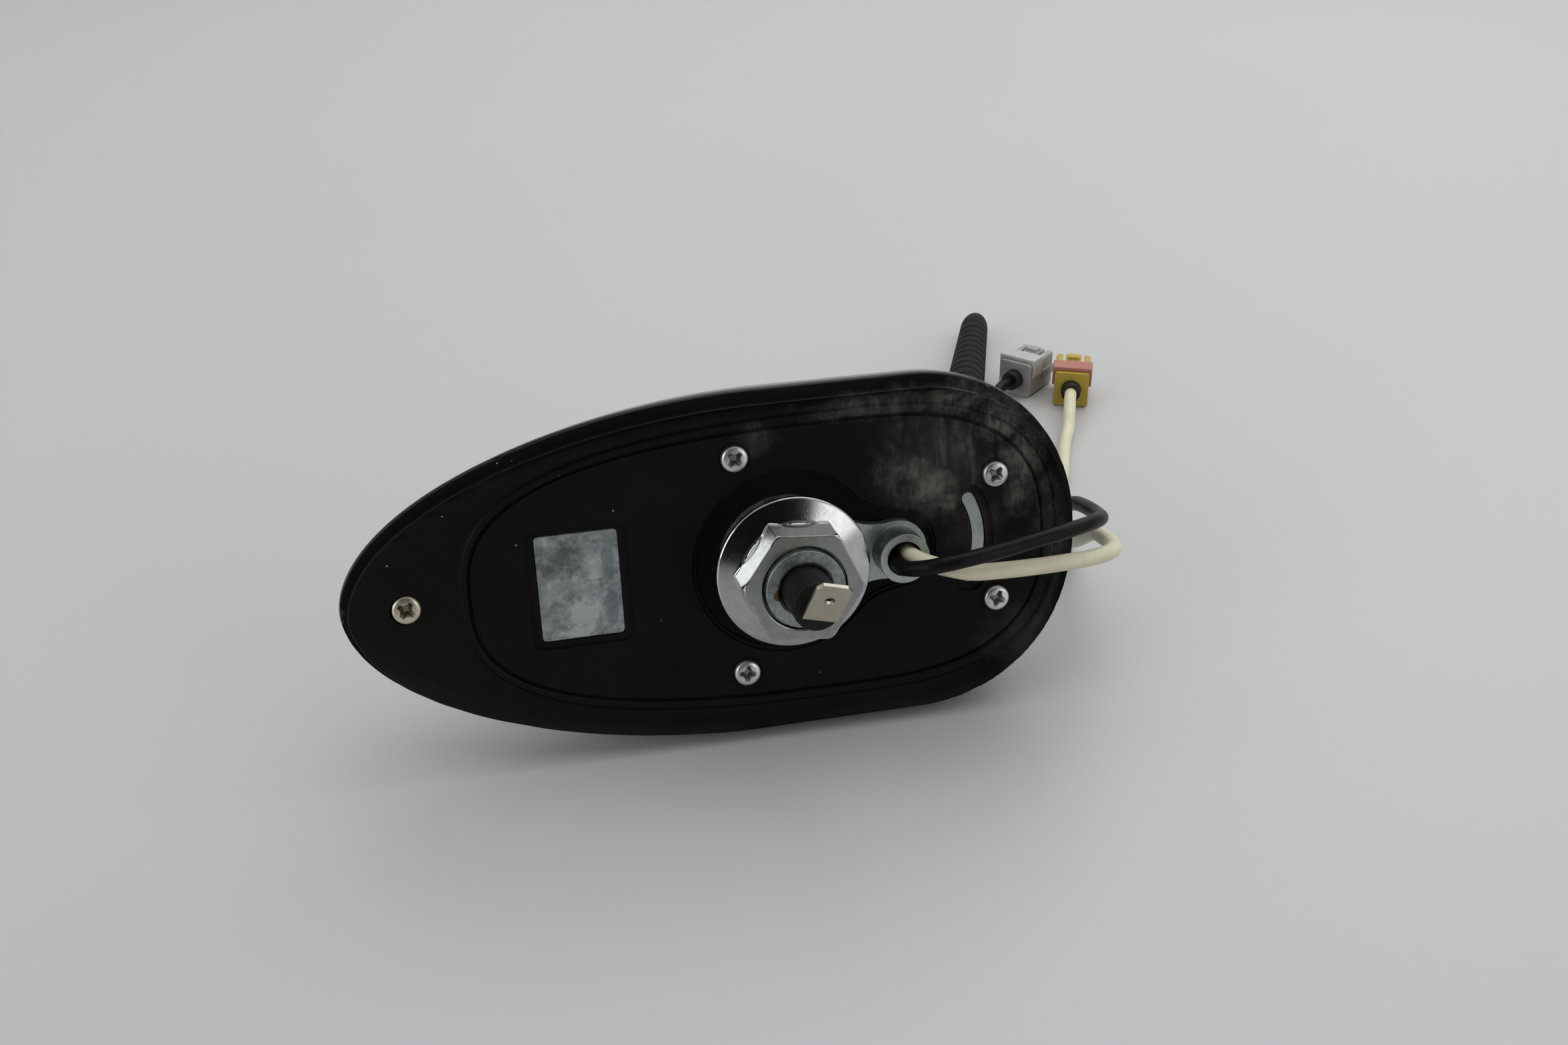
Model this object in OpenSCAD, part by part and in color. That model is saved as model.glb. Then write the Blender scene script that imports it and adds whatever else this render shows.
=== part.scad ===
// Roof antenna: an egg-shaped base clamped to a car roof by a hollow stud and a
// flange nut, with a stubby rubber mast and two slack coaxial leads.
// +X points to the front of the car, +Y to its left and +Z up out of the roof.
// The origin is on the stud's axis, in the plane of the roof's outer skin.

/* [Housing] */
// Nose of the housing, ahead of the stud
nose_x = 78.8; // [76:0.2:86]
// Tail of the housing, behind the stud
tail_x = 55; // [54:0.2:62]
// Half the width of the housing
half_w = 32.4; // [31.6:0.2:38]
// Height of the housing above the roof
cover_h = 36; // [34:0.5:46]
// Wall of the housing
cover_wall = 2.2; // [1.6:0.1:2.6]
// Height of the housing's lower edge above the roof
rim_z = 0.8; // [0.4:0.1:1.2]
// Outer diameter of the screw bosses
boss_d = 7.2; // [6.4:0.2:7.6]

/* [Gasket] */
// Thickness of the gasket's flat field
field_t = 1.6; // [1.4:0.1:2]
// How far the free lip hangs below the field
lip_drop = 2.4; // [1.6:0.1:3]
// How far the lip stands in from the housing
lip_inset = 1.4; // [1:0.1:1.8]
// Nose of the field, ahead of the stud
field_nose = 56.2; // [55:0.2:60]
// Tail of the field, behind the stud
field_tail = 48.3; // [47.6:0.1:49]
// Half the width of the field
field_half = 25; // [24.6:0.1:26]
// Height of the sealing bead
bead_h = 0.5; // [0.2:0.1:0.9]
// Width of the sealing bead at the front
bead_front_w = 0.9; // [0.6:0.1:1.4]
// Width of the sealing bead at the rear
bead_rear_w = 1.8; // [1.2:0.1:2.2]
// Radius of the round recess about the stud
recess_r = 17.2; // [16:0.1:18]
// Radius of the recess about the cable spigot
recess_tail_r = 7.6; // [7:0.1:8]
// Depth of the recess
recess_depth = 0.8; // [0.5:0.1:1]

/* [Base plate] */
// How far the plate stands in from the housing
plate_inset = 5; // [4.6:0.1:6]
// Thickness of the plate
plate_t = 2.2; // [1.8:0.1:3]
// How far the low pads stand proud of the plate
pad_h = 0.6; // [0.3:0.1:0.9]
// Radius of the locating key about the stud
key_r = 12.4; // [10:0.1:13]
// Radius of the locating key about the cable spigot
key_tail_r = 5.6; // [5.2:0.1:6]
// How far the locating key goes into the roof
key_depth = 1; // [0.6:0.1:1.6]
// Length of the window pad, along the car
window_l = 14.7; // [10:0.1:16]
// Width of the window pad, across the car
window_w = 19.7; // [14:0.1:24]
// Distance of the window pad's centre from the stud
window_x = 37.3; // [36:0.1:38]
// Rubber step round the window pad
window_step = 1.7; // [1:0.1:2]
// Radius of the rear rib, about the cable spigot
rib_r = 16.1; // [15:0.1:17]
// Width of the rear rib
rib_w = 2.4; // [1.6:0.1:3]
// Half the angle that the rear rib spans
rib_half_angle = 28; // [20:1:30]
// Height of the posts under the circuit board
post_h = 4.2; // [3.6:0.1:6]

/* [Roof fixing] */
// Diameter of the hollow stud
stud_d = 14; // [12:0.2:14]
// Bore of the hollow stud
stud_bore_d = 8.8; // [8.8:0.1:10]
// Length of the stud below the roof
stud_l = 14.9; // [14.6:0.1:18]
// Width of the nut across its flats
nut_af = 19; // [17:0.1:22]
// Diameter of the nut's flange
flange_d = 28; // [24:0.1:30]
// Thickness of the flange at its rim
flange_t = 1.2; // [0.8:0.1:1.6]
// Height of the nut, flange included
nut_h = 9.4; // [8:0.1:9.6]
// Gap left for the roof and its sealing washer
clamp_gap = 4.8; // [3:0.1:5]
// Turn of the nut on the stud
nut_turn = 5.8; // [0:0.2:60]

/* [Cable spigot] */
// Distance of the spigot behind the stud
spigot_x = 20.4; // [20:0.1:20.8]
// Outer diameter of the spigot
spigot_d = 9.3; // [9:0.1:10]
// Bore of the spigot
spigot_bore_d = 6.4; // [6.2:0.1:7]
// Length of the spigot below the roof
spigot_l = 6.1; // [4:0.1:6.4]

/* [Power terminal] */
// Diameter of the insulator in the stud
insulator_d = 8.6; // [7:0.1:8.7]
// Length of the insulator below the roof
insulator_l = 23.5; // [20:0.1:26]
// Width of the spade terminal
tab_w = 6.3; // [4.8:0.1:6.6]
// Thickness of the spade terminal
tab_t = 0.8; // [0.5:0.1:1]
// Length of the spade terminal's blade
tab_l = 8.9; // [7:0.1:12]
// Rise of the bent blade from the insulator's end
tab_rise = 32; // [10:1:80]
// Turn of the bent blade about the stud
tab_turn = 14.2; // [0:0.2:40]

/* [Screws] */
// Distance of the front screw ahead of the stud
front_screw_x = 67.4; // [66:0.1:68]
// Distance of the middle screws ahead of the stud
mid_screw_x = 8.5; // [7:0.1:10]
// Half the spacing of the middle screws
mid_screw_y = 20.4; // [20.3:0.1:20.6]
// Distance of the rear screws behind the stud
rear_screw_x = 39.5; // [39:0.1:41]
// Half the spacing of the rear screws
rear_screw_y = 12.1; // [11.5:0.1:13]
// Head diameter of the front screw
front_head_d = 5.4; // [4.6:0.1:5.6]
// Head diameter of the other screws
head_d = 5; // [4.6:0.1:5.4]
// Head height of the screws
head_h = 2.1; // [1.6:0.1:2.4]
// Shank diameter of the screws
shank_d = 2.9; // [2.4:0.1:3.2]
// Shank length of the front screw
front_screw_l = 7; // [5:0.1:7.4]
// Shank length of the other screws
screw_l = 12; // [8:0.1:16]

/* [Mast] */
// Distance of the mast's foot behind the stud
mast_x = 42.7; // [40:0.1:43.4]
// Lean of the mast back from upright
mast_lean = 20.8; // [16:0.2:26]
// Length of the mast above the housing
mast_l = 157; // [100:1:220]
// Diameter of the mast above its foot
mast_foot_d = 11.4; // [10.6:0.1:13]
// Diameter of the mast below its rounded tip
mast_tip_d = 7.7; // [7:0.1:9]
// Distance between the mast's rings
ring_pitch = 6.2; // [4:0.1:10]
// Depth of the grooves between the rings
ring_depth = 0.35; // [0.1:0.05:0.6]
// Diameter of the mast's fixing thread
mast_thread_d = 5; // [4:0.1:6]
// Length of the threaded bush in the housing
insert_l = 14; // [10:0.5:16]
// Diameter of the threaded bush
insert_d = 10; // [8.4:0.2:11]
// Diameter of the glass-fibre core
core_d = 2.6; // [2:0.1:2.8]
// Diameter of the radiator wire
wire_d = 0.8; // [0.5:0.1:0.9]
// Distance between the radiator's turns
wire_pitch = 6.4; // [5:0.1:9]

/* [Electronics] */
// Thickness of the circuit board
board_t = 1.2; // [0.8:0.1:1.6]
// Nose of the circuit board, ahead of the stud
board_nose = 54; // [50:0.5:56]
// Side of the square ceramic patch
patch_side = 25; // [20:0.5:26]
// Thickness of the ceramic patch
patch_t = 4; // [2:0.1:5]
// Distance of the patch ahead of the stud
patch_x = 36; // [35:0.5:38]
// Height of the shield can
can_h = 3.6; // [2:0.1:6]

/* [Leads] */
// Diameter of the black lead
black_d = 2.85; // [2.4:0.05:2.9]
// Diameter of the white lead
white_d = 3.05; // [2.6:0.05:3.1]
// Length of a plug housing
plug_l = 13; // [11:0.5:16]
// Width of a plug housing
plug_w = 9; // [8.4:0.1:10]
// Height of a plug housing
plug_h = 9.3; // [9:0.1:10]
// Diameter of a plug's rubber boot
boot_d = 5; // [4.4:0.1:5.6]
// Length of a boot outside its plug
boot_l = 2.6; // [1.5:0.1:6]
// Wall of a plug round its mouth
plug_wall = 1; // [0.8:0.1:1.2]

/* [Hidden] */
$fn = 64;
eps = 0.01;
fit_gap = 0.1;
around = 72;

// The egg outline is a long oval in front and a short one behind, with straight
// sides between half_front_x and half_rear_x, where it is widest.
half_front_x = 5;
half_rear_x = -23.5;
nose_power = 1.9;
tail_power = 2.1;
// The field's outline is squarer than the egg.
field_mid_x = -14;
field_front_power = 2.8;
field_rear_power = 2.6;

plate_bottom = field_t;
plate_top = plate_bottom + plate_t;
pad_bottom = plate_bottom - pad_h;
board_bottom = plate_top + post_h;
board_top = board_bottom + board_t;
hole_gap = 0.4;
pad_gap = 0.15;
key_fillet_r = 12;
boss_gap = 0.4;

function signed_power(v, p) = sign(v) * pow(abs(v), p);

// One egg outline: centres of the two halves, reach of nose, tail and side.
function egg(nose, tail, half, front_x, rear_x, front_power, rear_power) =
    [for (i = [0:around - 1])
        let (
            a = i * 360 / around,
            ahead = cos(a) >= 0,
            p = 2 / (ahead ? front_power : rear_power),
            mid = ahead ? front_x : rear_x,
            reach = ahead ? nose - front_x : rear_x - tail
        )
        [mid + reach * signed_power(cos(a), p), half * signed_power(sin(a), p)]];

// The housing's outline drawn in by an inset.
function base_outline(inset) =
    egg(nose_x - inset, inset - tail_x, half_w - inset,
        half_front_x, half_rear_x, nose_power, tail_power);

function field_outline() =
    egg(field_nose, -field_tail, field_half,
        field_mid_x, field_mid_x, field_front_power, field_rear_power);

// Outward unit normals of a closed outline.
function outward(outline) =
    [for (i = [0:len(outline) - 1])
        let (
            ahead = outline[(i + 1) % len(outline)],
            behind = outline[(i + len(outline) - 1) % len(outline)],
            run = ahead - behind
        )
        [run[1], -run[0]] / norm(run)];

function at_height(outline, z) = [for (p = outline) [p[0], p[1], z]];

// Skin between rings of equally many points, capped flat at both ends.
module skin(rings) {
    n = len(rings[0]);
    last = len(rings) - 1;
    sides = [for (j = [0:last - 1], i = [0:n - 1])
        let (next = j + 1, right = (i + 1) % n)
        each [[j * n + i, next * n + i, next * n + right],
              [j * n + i, next * n + right, j * n + right]]];
    caps = [[for (i = [0:n - 1]) i], [for (i = [n - 1:-1:0]) last * n + i]];
    polyhedron([for (r = rings) each r], concat(sides, caps), convexity = 6);
}

// Rectangle with round corners, centred on the origin.
module round_rectangle(l, w, r) {
    steps = 6;
    points = [for (k = [0:3], s = [0:steps])
        let (
            a = 90 * k + 90 * s / steps,
            x = (k == 0 || k == 3) ? 1 : -1,
            y = k < 2 ? 1 : -1
        )
        [x * (l / 2 - r) + r * cos(a), y * (w / 2 - r) + r * sin(a)]];
    polygon(points);
}

// Two circles joined by a waist with hollow round sides.
module keyhole(big_r, small_r, distance, waist_r) {
    from_big = big_r + waist_r;
    from_small = small_r + waist_r;
    along = (from_big * from_big - from_small * from_small + distance * distance)
        / (2 * distance);
    aside = sqrt(from_big * from_big - along * along);
    circle(r = big_r);
    translate([-distance, 0]) circle(r = small_r);
    difference() {
        polygon([[0, 0], [-along, aside], [-distance, 0], [-along, -aside]]);
        for (side = [-1, 1])
            translate([-along, side * aside]) circle(r = waist_r);
    }
}

// Arc-shaped bar about the cable spigot, with round ends.
module rear_arc(bar_w) {
    steps = 16;
    turns = [for (i = [0:steps]) 180 + rib_half_angle * (2 * i / steps - 1)];
    outer = [for (a = turns) (rib_r + bar_w / 2) * [cos(a), sin(a)]];
    inner = [for (i = [steps:-1:0]) (rib_r - bar_w / 2) * [cos(turns[i]), sin(turns[i])]];
    end = function (at, from) [for (i = [1:steps - 1])
        let (a = from + 180 * i / steps)
        rib_r * [cos(at), sin(at)] + bar_w / 2 * [cos(a), sin(a)]];
    last = turns[steps];
    translate([-spigot_x, 0])
        polygon(concat(outer, end(last, last), inner, end(turns[0], turns[0] + 180)));
}

// Places of the screws that hold the housing to the plate.
front_place = [[front_screw_x, 0]];
middle_places = [[mid_screw_x, mid_screw_y], [mid_screw_x, -mid_screw_y]];
rear_places = [[-rear_screw_x, rear_screw_y], [-rear_screw_x, -rear_screw_y]];
all_places = concat(front_place, middle_places, rear_places);

module at_places(places) {
    for (p = places) translate([p[0], p[1], 0]) children();
}

/* Housing */

function dome_ring(z, wall) =
    let (
        h = cover_h - wall,
        rise = min(z / h, 1),
        shift = rise * rise,
        top_x = -32,
        front_reach = nose_x - wall - top_x,
        rear_reach = tail_x - wall + top_x,
        nose = top_x + front_reach * pow(1 - pow(rise, 1.6), 1 / 1.6),
        tail = top_x - rear_reach * pow(1 - pow(rise, 2.2), 1 / 2.2),
        half = (half_w - wall) * pow(1 - pow(rise, 1.8), 1 / 1.8),
        front_x = half_front_x + (top_x - half_front_x) * shift,
        rear_x = half_rear_x + (top_x - half_rear_x) * shift
    )
    at_height(egg(nose, tail, half, front_x, rear_x, nose_power, tail_power), z);

// Solid dome, its wall drawn in by an inset.
module dome(wall, bottom, levels) {
    h = cover_h - wall;
    start = asin(pow(max(bottom, 0) / h, 0.9));
    steps = [for (i = [0:levels - 1]) start + (88.5 - start) * i / (levels - 1)];
    rings = [for (a = steps) dome_ring(h * pow(sin(a), 1 / 0.9), wall)];
    skin(rings);
}

module on_mast() {
    translate([-mast_x, 0, cover_h]) rotate([0, -mast_lean, 0]) children();
}

turret_r = 8.8;
turret_depth = 16;
insert_proud = 1;

module turret() {
    on_mast() rotate_extrude()
        polygon([[0, -turret_depth], [turret_r + 6, -turret_depth], [turret_r + 4.2, -10],
                 [turret_r + 1.8, -5], [turret_r + 0.5, -1.8], [turret_r, -0.6],
                 [turret_r - 0.5, 0], [0, 0]]);
}

module housing_cover() {
    color([0.03, 0.03, 0.035]) difference() {
        union() {
            difference() {
                union() {
                    dome(0, rim_z, 12);
                    turret();
                }
                translate([0, 0, -eps]) dome(cover_wall, 0, 10);
            }
            intersection() {
                dome(cover_wall / 2, 0, 10);
                at_places(all_places)
                    translate([0, 0, plate_top]) cylinder(d = boss_d, h = cover_h);
            }
            on_mast() translate([0, 0, insert_proud - insert_l])
                cylinder(r = insert_d / 2 + 2.4, h = insert_l - insert_proud - 1);
        }
        at_places(front_place)
            cylinder(d = shank_d, h = pad_bottom + front_screw_l + fit_gap);
        at_places(concat(middle_places, rear_places))
            cylinder(d = shank_d, h = pad_bottom + screw_l + 1);
        on_mast() translate([0, 0, -insert_l - eps]) cylinder(d = insert_d, h = insert_l + 1);
    }
}

/* Base plate */

wall_inset = 1.8;
wall_t = 1.2;
wall_h = 2;
post_d = 6;
board_screw_d = 2;
board_screw_l = 5;
board_places = [[-27, 10], [-27, -10], [18, 12], [18, -12]];

module key_outline(grow = 0) {
    keyhole(key_r + grow, key_tail_r + grow, spigot_x, key_fillet_r - grow);
}

module base_plate() {
    color([0.62, 0.64, 0.66]) difference() {
        union() {
            translate([0, 0, plate_bottom])
                linear_extrude(plate_t) polygon(base_outline(plate_inset));
            translate([0, 0, plate_top - eps]) linear_extrude(wall_h + eps) difference() {
                polygon(base_outline(plate_inset + wall_inset));
                polygon(base_outline(plate_inset + wall_inset + wall_t));
                for (p = all_places) translate(p) circle(d = boss_d + 2 * boss_gap);
            }
            translate([0, 0, -key_depth])
                linear_extrude(key_depth + plate_bottom + eps) key_outline();
            translate([0, 0, -stud_l])
                cylinder(d = stud_d, h = stud_l + plate_bottom + eps);
            translate([-spigot_x, 0, -spigot_l])
                cylinder(d = spigot_d, h = spigot_l + plate_bottom + eps);
            translate([window_x, 0, pad_bottom]) linear_extrude(pad_h + eps)
                round_rectangle(window_l, window_w, 0.8);
            translate([0, 0, pad_bottom]) linear_extrude(pad_h + eps) rear_arc(rib_w);
            translate([front_screw_x, 0, pad_bottom])
                cylinder(d = front_head_d + hole_gap, h = pad_h + eps);
            at_places(concat(middle_places, rear_places)) translate([0, 0, pad_bottom])
                cylinder(d = head_d + hole_gap, h = pad_h + eps);
            at_places(board_places) translate([0, 0, plate_top - eps])
                cylinder(d = post_d, h = post_h + eps);
        }
        translate([0, 0, -stud_l - eps])
            cylinder(d = stud_bore_d, h = stud_l + plate_top + 2 * eps);
        translate([0, 0, -stud_l - eps])
            cylinder(d1 = stud_bore_d + 1.2, d2 = stud_bore_d, h = 0.6);
        translate([-spigot_x, 0, -spigot_l - eps])
            cylinder(d = spigot_bore_d, h = spigot_l + plate_top + 2 * eps);
        at_places(all_places) cylinder(d = shank_d + 2 * fit_gap, h = plate_top + 1);
        at_places(board_places) translate([0, 0, board_bottom - board_screw_l + board_t])
            cylinder(d = board_screw_d, h = board_screw_l);
    }
}

/* Gasket */

groove_w = 0.5;
groove_depth = 0.5;
neck_inset = 0.35;
// Thin rim that closes the gap under the housing's lower edge.
rim_inset = 0.15;
rim_t = 0.7;

// Rings of points from the field's edge round the border and lip to the flat top.
function gasket_rings() =
    let (
        field = field_outline(),
        n = outward(field),
        lip = base_outline(lip_inset),
        neck = base_outline(lip_inset + neck_inset),
        shoulder = base_outline(plate_inset - 0.3),
        seat = base_outline(cover_wall + 0.9),
        bead_w = [for (i = [0:around - 1])
            bead_rear_w + (bead_front_w - bead_rear_w) * (1 + cos(i * 360 / around)) / 2],
        off = function (d, w, z) [for (i = [0:around - 1])
            let (p = field[i] + n[i] * (d + w * bead_w[i])) [p[0], p[1], z]],
        blend = function (share, z) [for (i = [0:around - 1])
            let (
                start = field[i] + n[i] * (groove_w + 0.6 + bead_w[i]),
                p = start + (lip[i] - start) * share
            )
            [p[0], p[1], z]]
    )
    [
        off(0, 0, 0),
        off(0, 0, groove_depth),
        off(groove_w, 0, groove_depth),
        off(groove_w + 0.15, 0, -bead_h * 0.6),
        off(groove_w + 0.35, 0, -bead_h),
        off(groove_w + 0.2, 1, -bead_h),
        off(groove_w + 0.45, 1, -bead_h * 0.5),
        blend(0, 0),
        blend(0.35, -lip_drop * 0.16),
        blend(0.7, -lip_drop * 0.5),
        blend(0.92, -lip_drop * 0.85),
        blend(0.985, -lip_drop),
        at_height(lip, -lip_drop + 0.25),
        at_height(lip, -lip_drop + 1),
        at_height(neck, -lip_drop + 1.5),
        at_height(neck, rim_z - rim_t),
        at_height(base_outline(rim_inset + rim_t / 2), rim_z - rim_t),
        at_height(base_outline(rim_inset), rim_z - rim_t * 0.7),
        at_height(base_outline(rim_inset), rim_z),
        at_height(seat, rim_z),
        at_height(shoulder, field_t)
    ];

module gasket() {
    color([0.05, 0.05, 0.055]) difference() {
        skin(gasket_rings());
        translate([0, 0, -eps]) linear_extrude(recess_depth / 2 + eps)
            keyhole(recess_r, recess_tail_r, spigot_x, key_fillet_r);
        translate([0, 0, -eps]) linear_extrude(recess_depth + eps)
            keyhole(recess_r - 0.7, recess_tail_r - 0.6, spigot_x, key_fillet_r + 0.6);
        translate([0, 0, -eps]) linear_extrude(field_t + 2 * eps)
            key_outline(pad_gap);
        translate([window_x, 0, -eps]) linear_extrude(recess_depth + eps)
            round_rectangle(window_l + 2 * window_step, window_w + 2 * window_step - 0.8, 1.8);
        translate([window_x, 0, -eps]) linear_extrude(field_t + 2 * eps)
            round_rectangle(window_l + 2 * pad_gap, window_w + 2 * pad_gap, 0.9);
        translate([0, 0, -eps]) linear_extrude(recess_depth + eps)
            rear_arc(rib_w + 3.2);
        translate([0, 0, -eps]) linear_extrude(field_t + 2 * eps)
            rear_arc(rib_w + 2 * pad_gap);
        translate([front_screw_x, 0, -lip_drop - 1])
            cylinder(d = front_head_d + hole_gap + 2 * pad_gap, h = field_t + lip_drop + 2);
        at_places(concat(middle_places, rear_places)) translate([0, 0, -1])
            cylinder(d = head_d + hole_gap + 2 * pad_gap, h = field_t + 2);
    }
}

/* Roof fixing */

module flange_nut() {
    neck_r = nut_af / 2 + 0.6;
    cone_h = 1.2;
    corner_r = nut_af / 2 / cos(30);
    color([0.8, 0.81, 0.83]) translate([0, 0, -clamp_gap]) rotate([180, 0, 0]) difference() {
        union() {
            cylinder(d = flange_d, h = flange_t);
            translate([0, 0, flange_t - eps])
                cylinder(r1 = flange_d / 2 - 0.2, r2 = neck_r, h = cone_h + eps);
            rotate(-nut_turn) intersection() {
                cylinder(r = corner_r, h = nut_h, $fn = 6);
                rotate_extrude() polygon([[0, 0], [corner_r, 0], [corner_r, nut_h - 0.7],
                                          [corner_r - 1.2, nut_h], [0, nut_h]]);
            }
        }
        translate([0, 0, -eps]) cylinder(d = stud_d, h = nut_h + 1);
        translate([0, 0, nut_h - 0.5]) cylinder(d1 = stud_d, d2 = stud_d + 1.2, h = 0.5 + eps);
    }
}

collar_d = 12;
collar_t = 1.4;
strip_w = 2.4;
tab_root = [-0.2, -1.9, -insulator_l - tab_t / 2];

module terminal_insulator() {
    color([0.04, 0.04, 0.04]) difference() {
        union() {
            translate([0, 0, -insulator_l]) cylinder(d = insulator_d, h = insulator_l + plate_top);
            translate([0, 0, plate_top]) cylinder(d = collar_d, h = collar_t);
        }
        translate(tab_root) rotate(tab_turn) translate([0, 0, collar_t + 25])
            cube([strip_w, tab_t, 60], center = true);
    }
}

module spade_terminal() {
    color([0.78, 0.72, 0.66]) {
        translate(tab_root) rotate(tab_turn) {
            translate([-strip_w / 2, -tab_t / 2, 0])
                cube([strip_w, tab_t, board_bottom - tab_root[2]]);
            rotate([0, 90, 0]) cylinder(d = tab_t, h = tab_w, center = true);
            rotate([-tab_rise, 0, 0]) translate([0, 0, -tab_t / 2]) linear_extrude(tab_t)
                difference() {
                    polygon([[-tab_w / 2, 0], [tab_w / 2, 0], [tab_w / 2, tab_l - 1],
                             [tab_w / 2 - 1, tab_l], [1 - tab_w / 2, tab_l],
                             [-tab_w / 2, tab_l - 1]]);
                    translate([0, tab_l * 0.58]) circle(d = 1.7);
                }
        }
    }
}

/* Screws */

// Pan head with a cross recess, head down and shank up.
module pan_screw(top_d, shank_l, body_d = shank_d, tall = head_h) {
    recess = top_d * 0.62;
    slot = top_d * 0.16;
    difference() {
        union() {
            rotate_extrude() polygon([[0, -tall], [top_d * 0.3, -tall],
                [top_d * 0.42, -tall * 0.86], [top_d * 0.48, -tall * 0.6],
                [top_d / 2, -tall * 0.3], [top_d / 2, 0], [0, 0]]);
            cylinder(d = body_d, h = shank_l - 1);
            translate([0, 0, shank_l - 1]) cylinder(d1 = body_d, d2 = body_d * 0.6, h = 1);
        }
        for (turn = [0, 90]) rotate(turn + 30) translate([0, 0, -tall])
            cube([recess, slot, tall], center = true);
    }
}

module front_screw() {
    color([0.72, 0.68, 0.55]) at_places(front_place) translate([0, 0, pad_bottom])
        pan_screw(front_head_d, front_screw_l);
}

module middle_screws() {
    color([0.75, 0.78, 0.78]) at_places(middle_places) translate([0, 0, pad_bottom])
        pan_screw(head_d, screw_l);
}

module rear_screws() {
    color([0.78, 0.8, 0.8]) at_places(rear_places) translate([0, 0, pad_bottom])
        pan_screw(head_d, screw_l);
}

/* Mast */

ferrule_l = 12;
ferrule_r = 4.2;
core_depth = 8;
tip_l = 18;
foot_l = 10;
foot_r = 7.6;
core_end = mast_l - tip_l;
ring_count = floor((core_end - foot_l) / ring_pitch);

function mast_r(s) = (mast_foot_d + (mast_tip_d - mast_foot_d) * s / core_end) / 2;

function tip_r(u) = mast_tip_d / 2 * pow(1 - pow(u, 2.2), 0.625);

module mast_sleeve() {
    rings = [for (i = [0:ring_count - 1])
        let (s = foot_l + i * ring_pitch)
        each [[mast_r(s) - ring_depth, s], [mast_r(s), s + ring_pitch * 0.25],
              [mast_r(s), s + ring_pitch * 0.75], [mast_r(s) - ring_depth, s + ring_pitch * 0.98]]];
    tip = [for (i = [0:7]) let (u = sin(i * 90 / 7.5)) [tip_r(u), core_end + tip_l * u]];
    outline = concat([[0, 0], [foot_r, 0], [foot_r, 2], [foot_r - 0.6, 4],
                      [mast_foot_d / 2 + 0.3, 7]], rings, tip, [[0, mast_l]]);
    bore_r = core_d / 2 + wire_d + 2 * fit_gap;
    color([0.06, 0.06, 0.06]) on_mast() difference() {
        rotate_extrude() polygon(outline);
        translate([0, 0, -eps]) cylinder(r = ferrule_r, h = ferrule_l + eps);
        cylinder(r = bore_r, h = core_end - 4);
    }
}

module mast_ferrule() {
    color([0.75, 0.62, 0.35]) on_mast() difference() {
        union() {
            cylinder(r = ferrule_r, h = ferrule_l);
            translate([0, 0, 1 - insert_l]) cylinder(d = mast_thread_d, h = insert_l - 1 + eps);
        }
        translate([0, 0, ferrule_l - core_depth]) cylinder(d = core_d, h = core_depth + 1);
    }
}

module mast_core() {
    color([0.85, 0.82, 0.7]) on_mast() translate([0, 0, ferrule_l - core_depth])
        cylinder(d = core_d, h = core_end - 4 - ferrule_l + core_depth);
}

winding_clear = 20;
winding_l = core_end - ferrule_l - winding_clear;
winding_steps = 12;

// Spring-like radiator wire, four-sided, one ring per step of each turn.
module mast_winding() {
    turns = floor(winding_l / wire_pitch);
    coil_r = core_d / 2 / cos(180 / winding_steps) + wire_d / 2;
    climb = wire_pitch / (2 * PI * coil_r);
    start = ferrule_l + wire_d / 2 / norm([1, climb]);
    count = turns * winding_steps;
    rings = [for (i = [0:count])
        let (
            a = i * 360 / winding_steps,
            s = start + i * wire_pitch / winding_steps,
            along = [-sin(a), cos(a), climb],
            t = along / norm(along),
            out = [cos(a), sin(a), 0],
            side = cross(t, out)
        )
        [for (k = [0:3]) coil_r * out + [0, 0, s]
            + wire_d / 2 * (out * cos(90 * k) + side * sin(90 * k))]];
    color([0.75, 0.45, 0.25]) on_mast() skin(rings);
}

module mast_insert() {
    color([0.8, 0.68, 0.38]) on_mast() difference() {
        translate([0, 0, -insert_l]) rotate_extrude() polygon([
            [0, 0], [insert_d / 2 - 0.5, 0], [insert_d / 2 - 0.5, 1], [insert_d / 2, 1.2],
            [insert_d / 2, insert_l * 0.4], [insert_d / 2 - 0.6, insert_l * 0.45],
            [insert_d / 2 - 0.6, insert_l * 0.6], [insert_d / 2, insert_l * 0.65],
            [insert_d / 2, insert_l], [0, insert_l]]);
        translate([0, 0, 1 - insert_l]) cylinder(d = mast_thread_d, h = insert_l);
    }
}

/* Electronics */

feed_t = 0.4;
feed_w = 4;
feed_foot_x = -26;
feed_foot_l = 4;
feed_bend = 1.5;
feed_head = 3.4;

// Spring strip from the board up to the lower end of the mast's bush.
module feed_strip() {
    lean = [-sin(mast_lean), cos(mast_lean)];
    across = [cos(mast_lean), sin(mast_lean)];
    bush_end = [-mast_x, cover_h] - insert_l * lean;
    near = bush_end + across * feed_head;
    far = bush_end - across * feed_head;
    outline = [
        [feed_foot_x + feed_foot_l, board_top], [feed_foot_x + feed_foot_l, board_top + feed_t],
        [feed_foot_x - feed_bend, board_top + feed_t],
        near - feed_t * lean + feed_t * [2.25, -1], near + feed_t * [2.25, -0.25], near, far,
        far - feed_t * lean, near - feed_t * lean + feed_t * [0.75, -1.5],
        [feed_foot_x - feed_bend - feed_t * 1.25, board_top]
    ];
    color([0.85, 0.75, 0.45]) rotate([90, 0, 0]) linear_extrude(feed_w, center = true)
        polygon(outline);
}

board_half = mid_screw_y - boss_d / 2 - 0.6;
board_tail = rear_screw_x - boss_d / 2 - 1.5;

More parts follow.
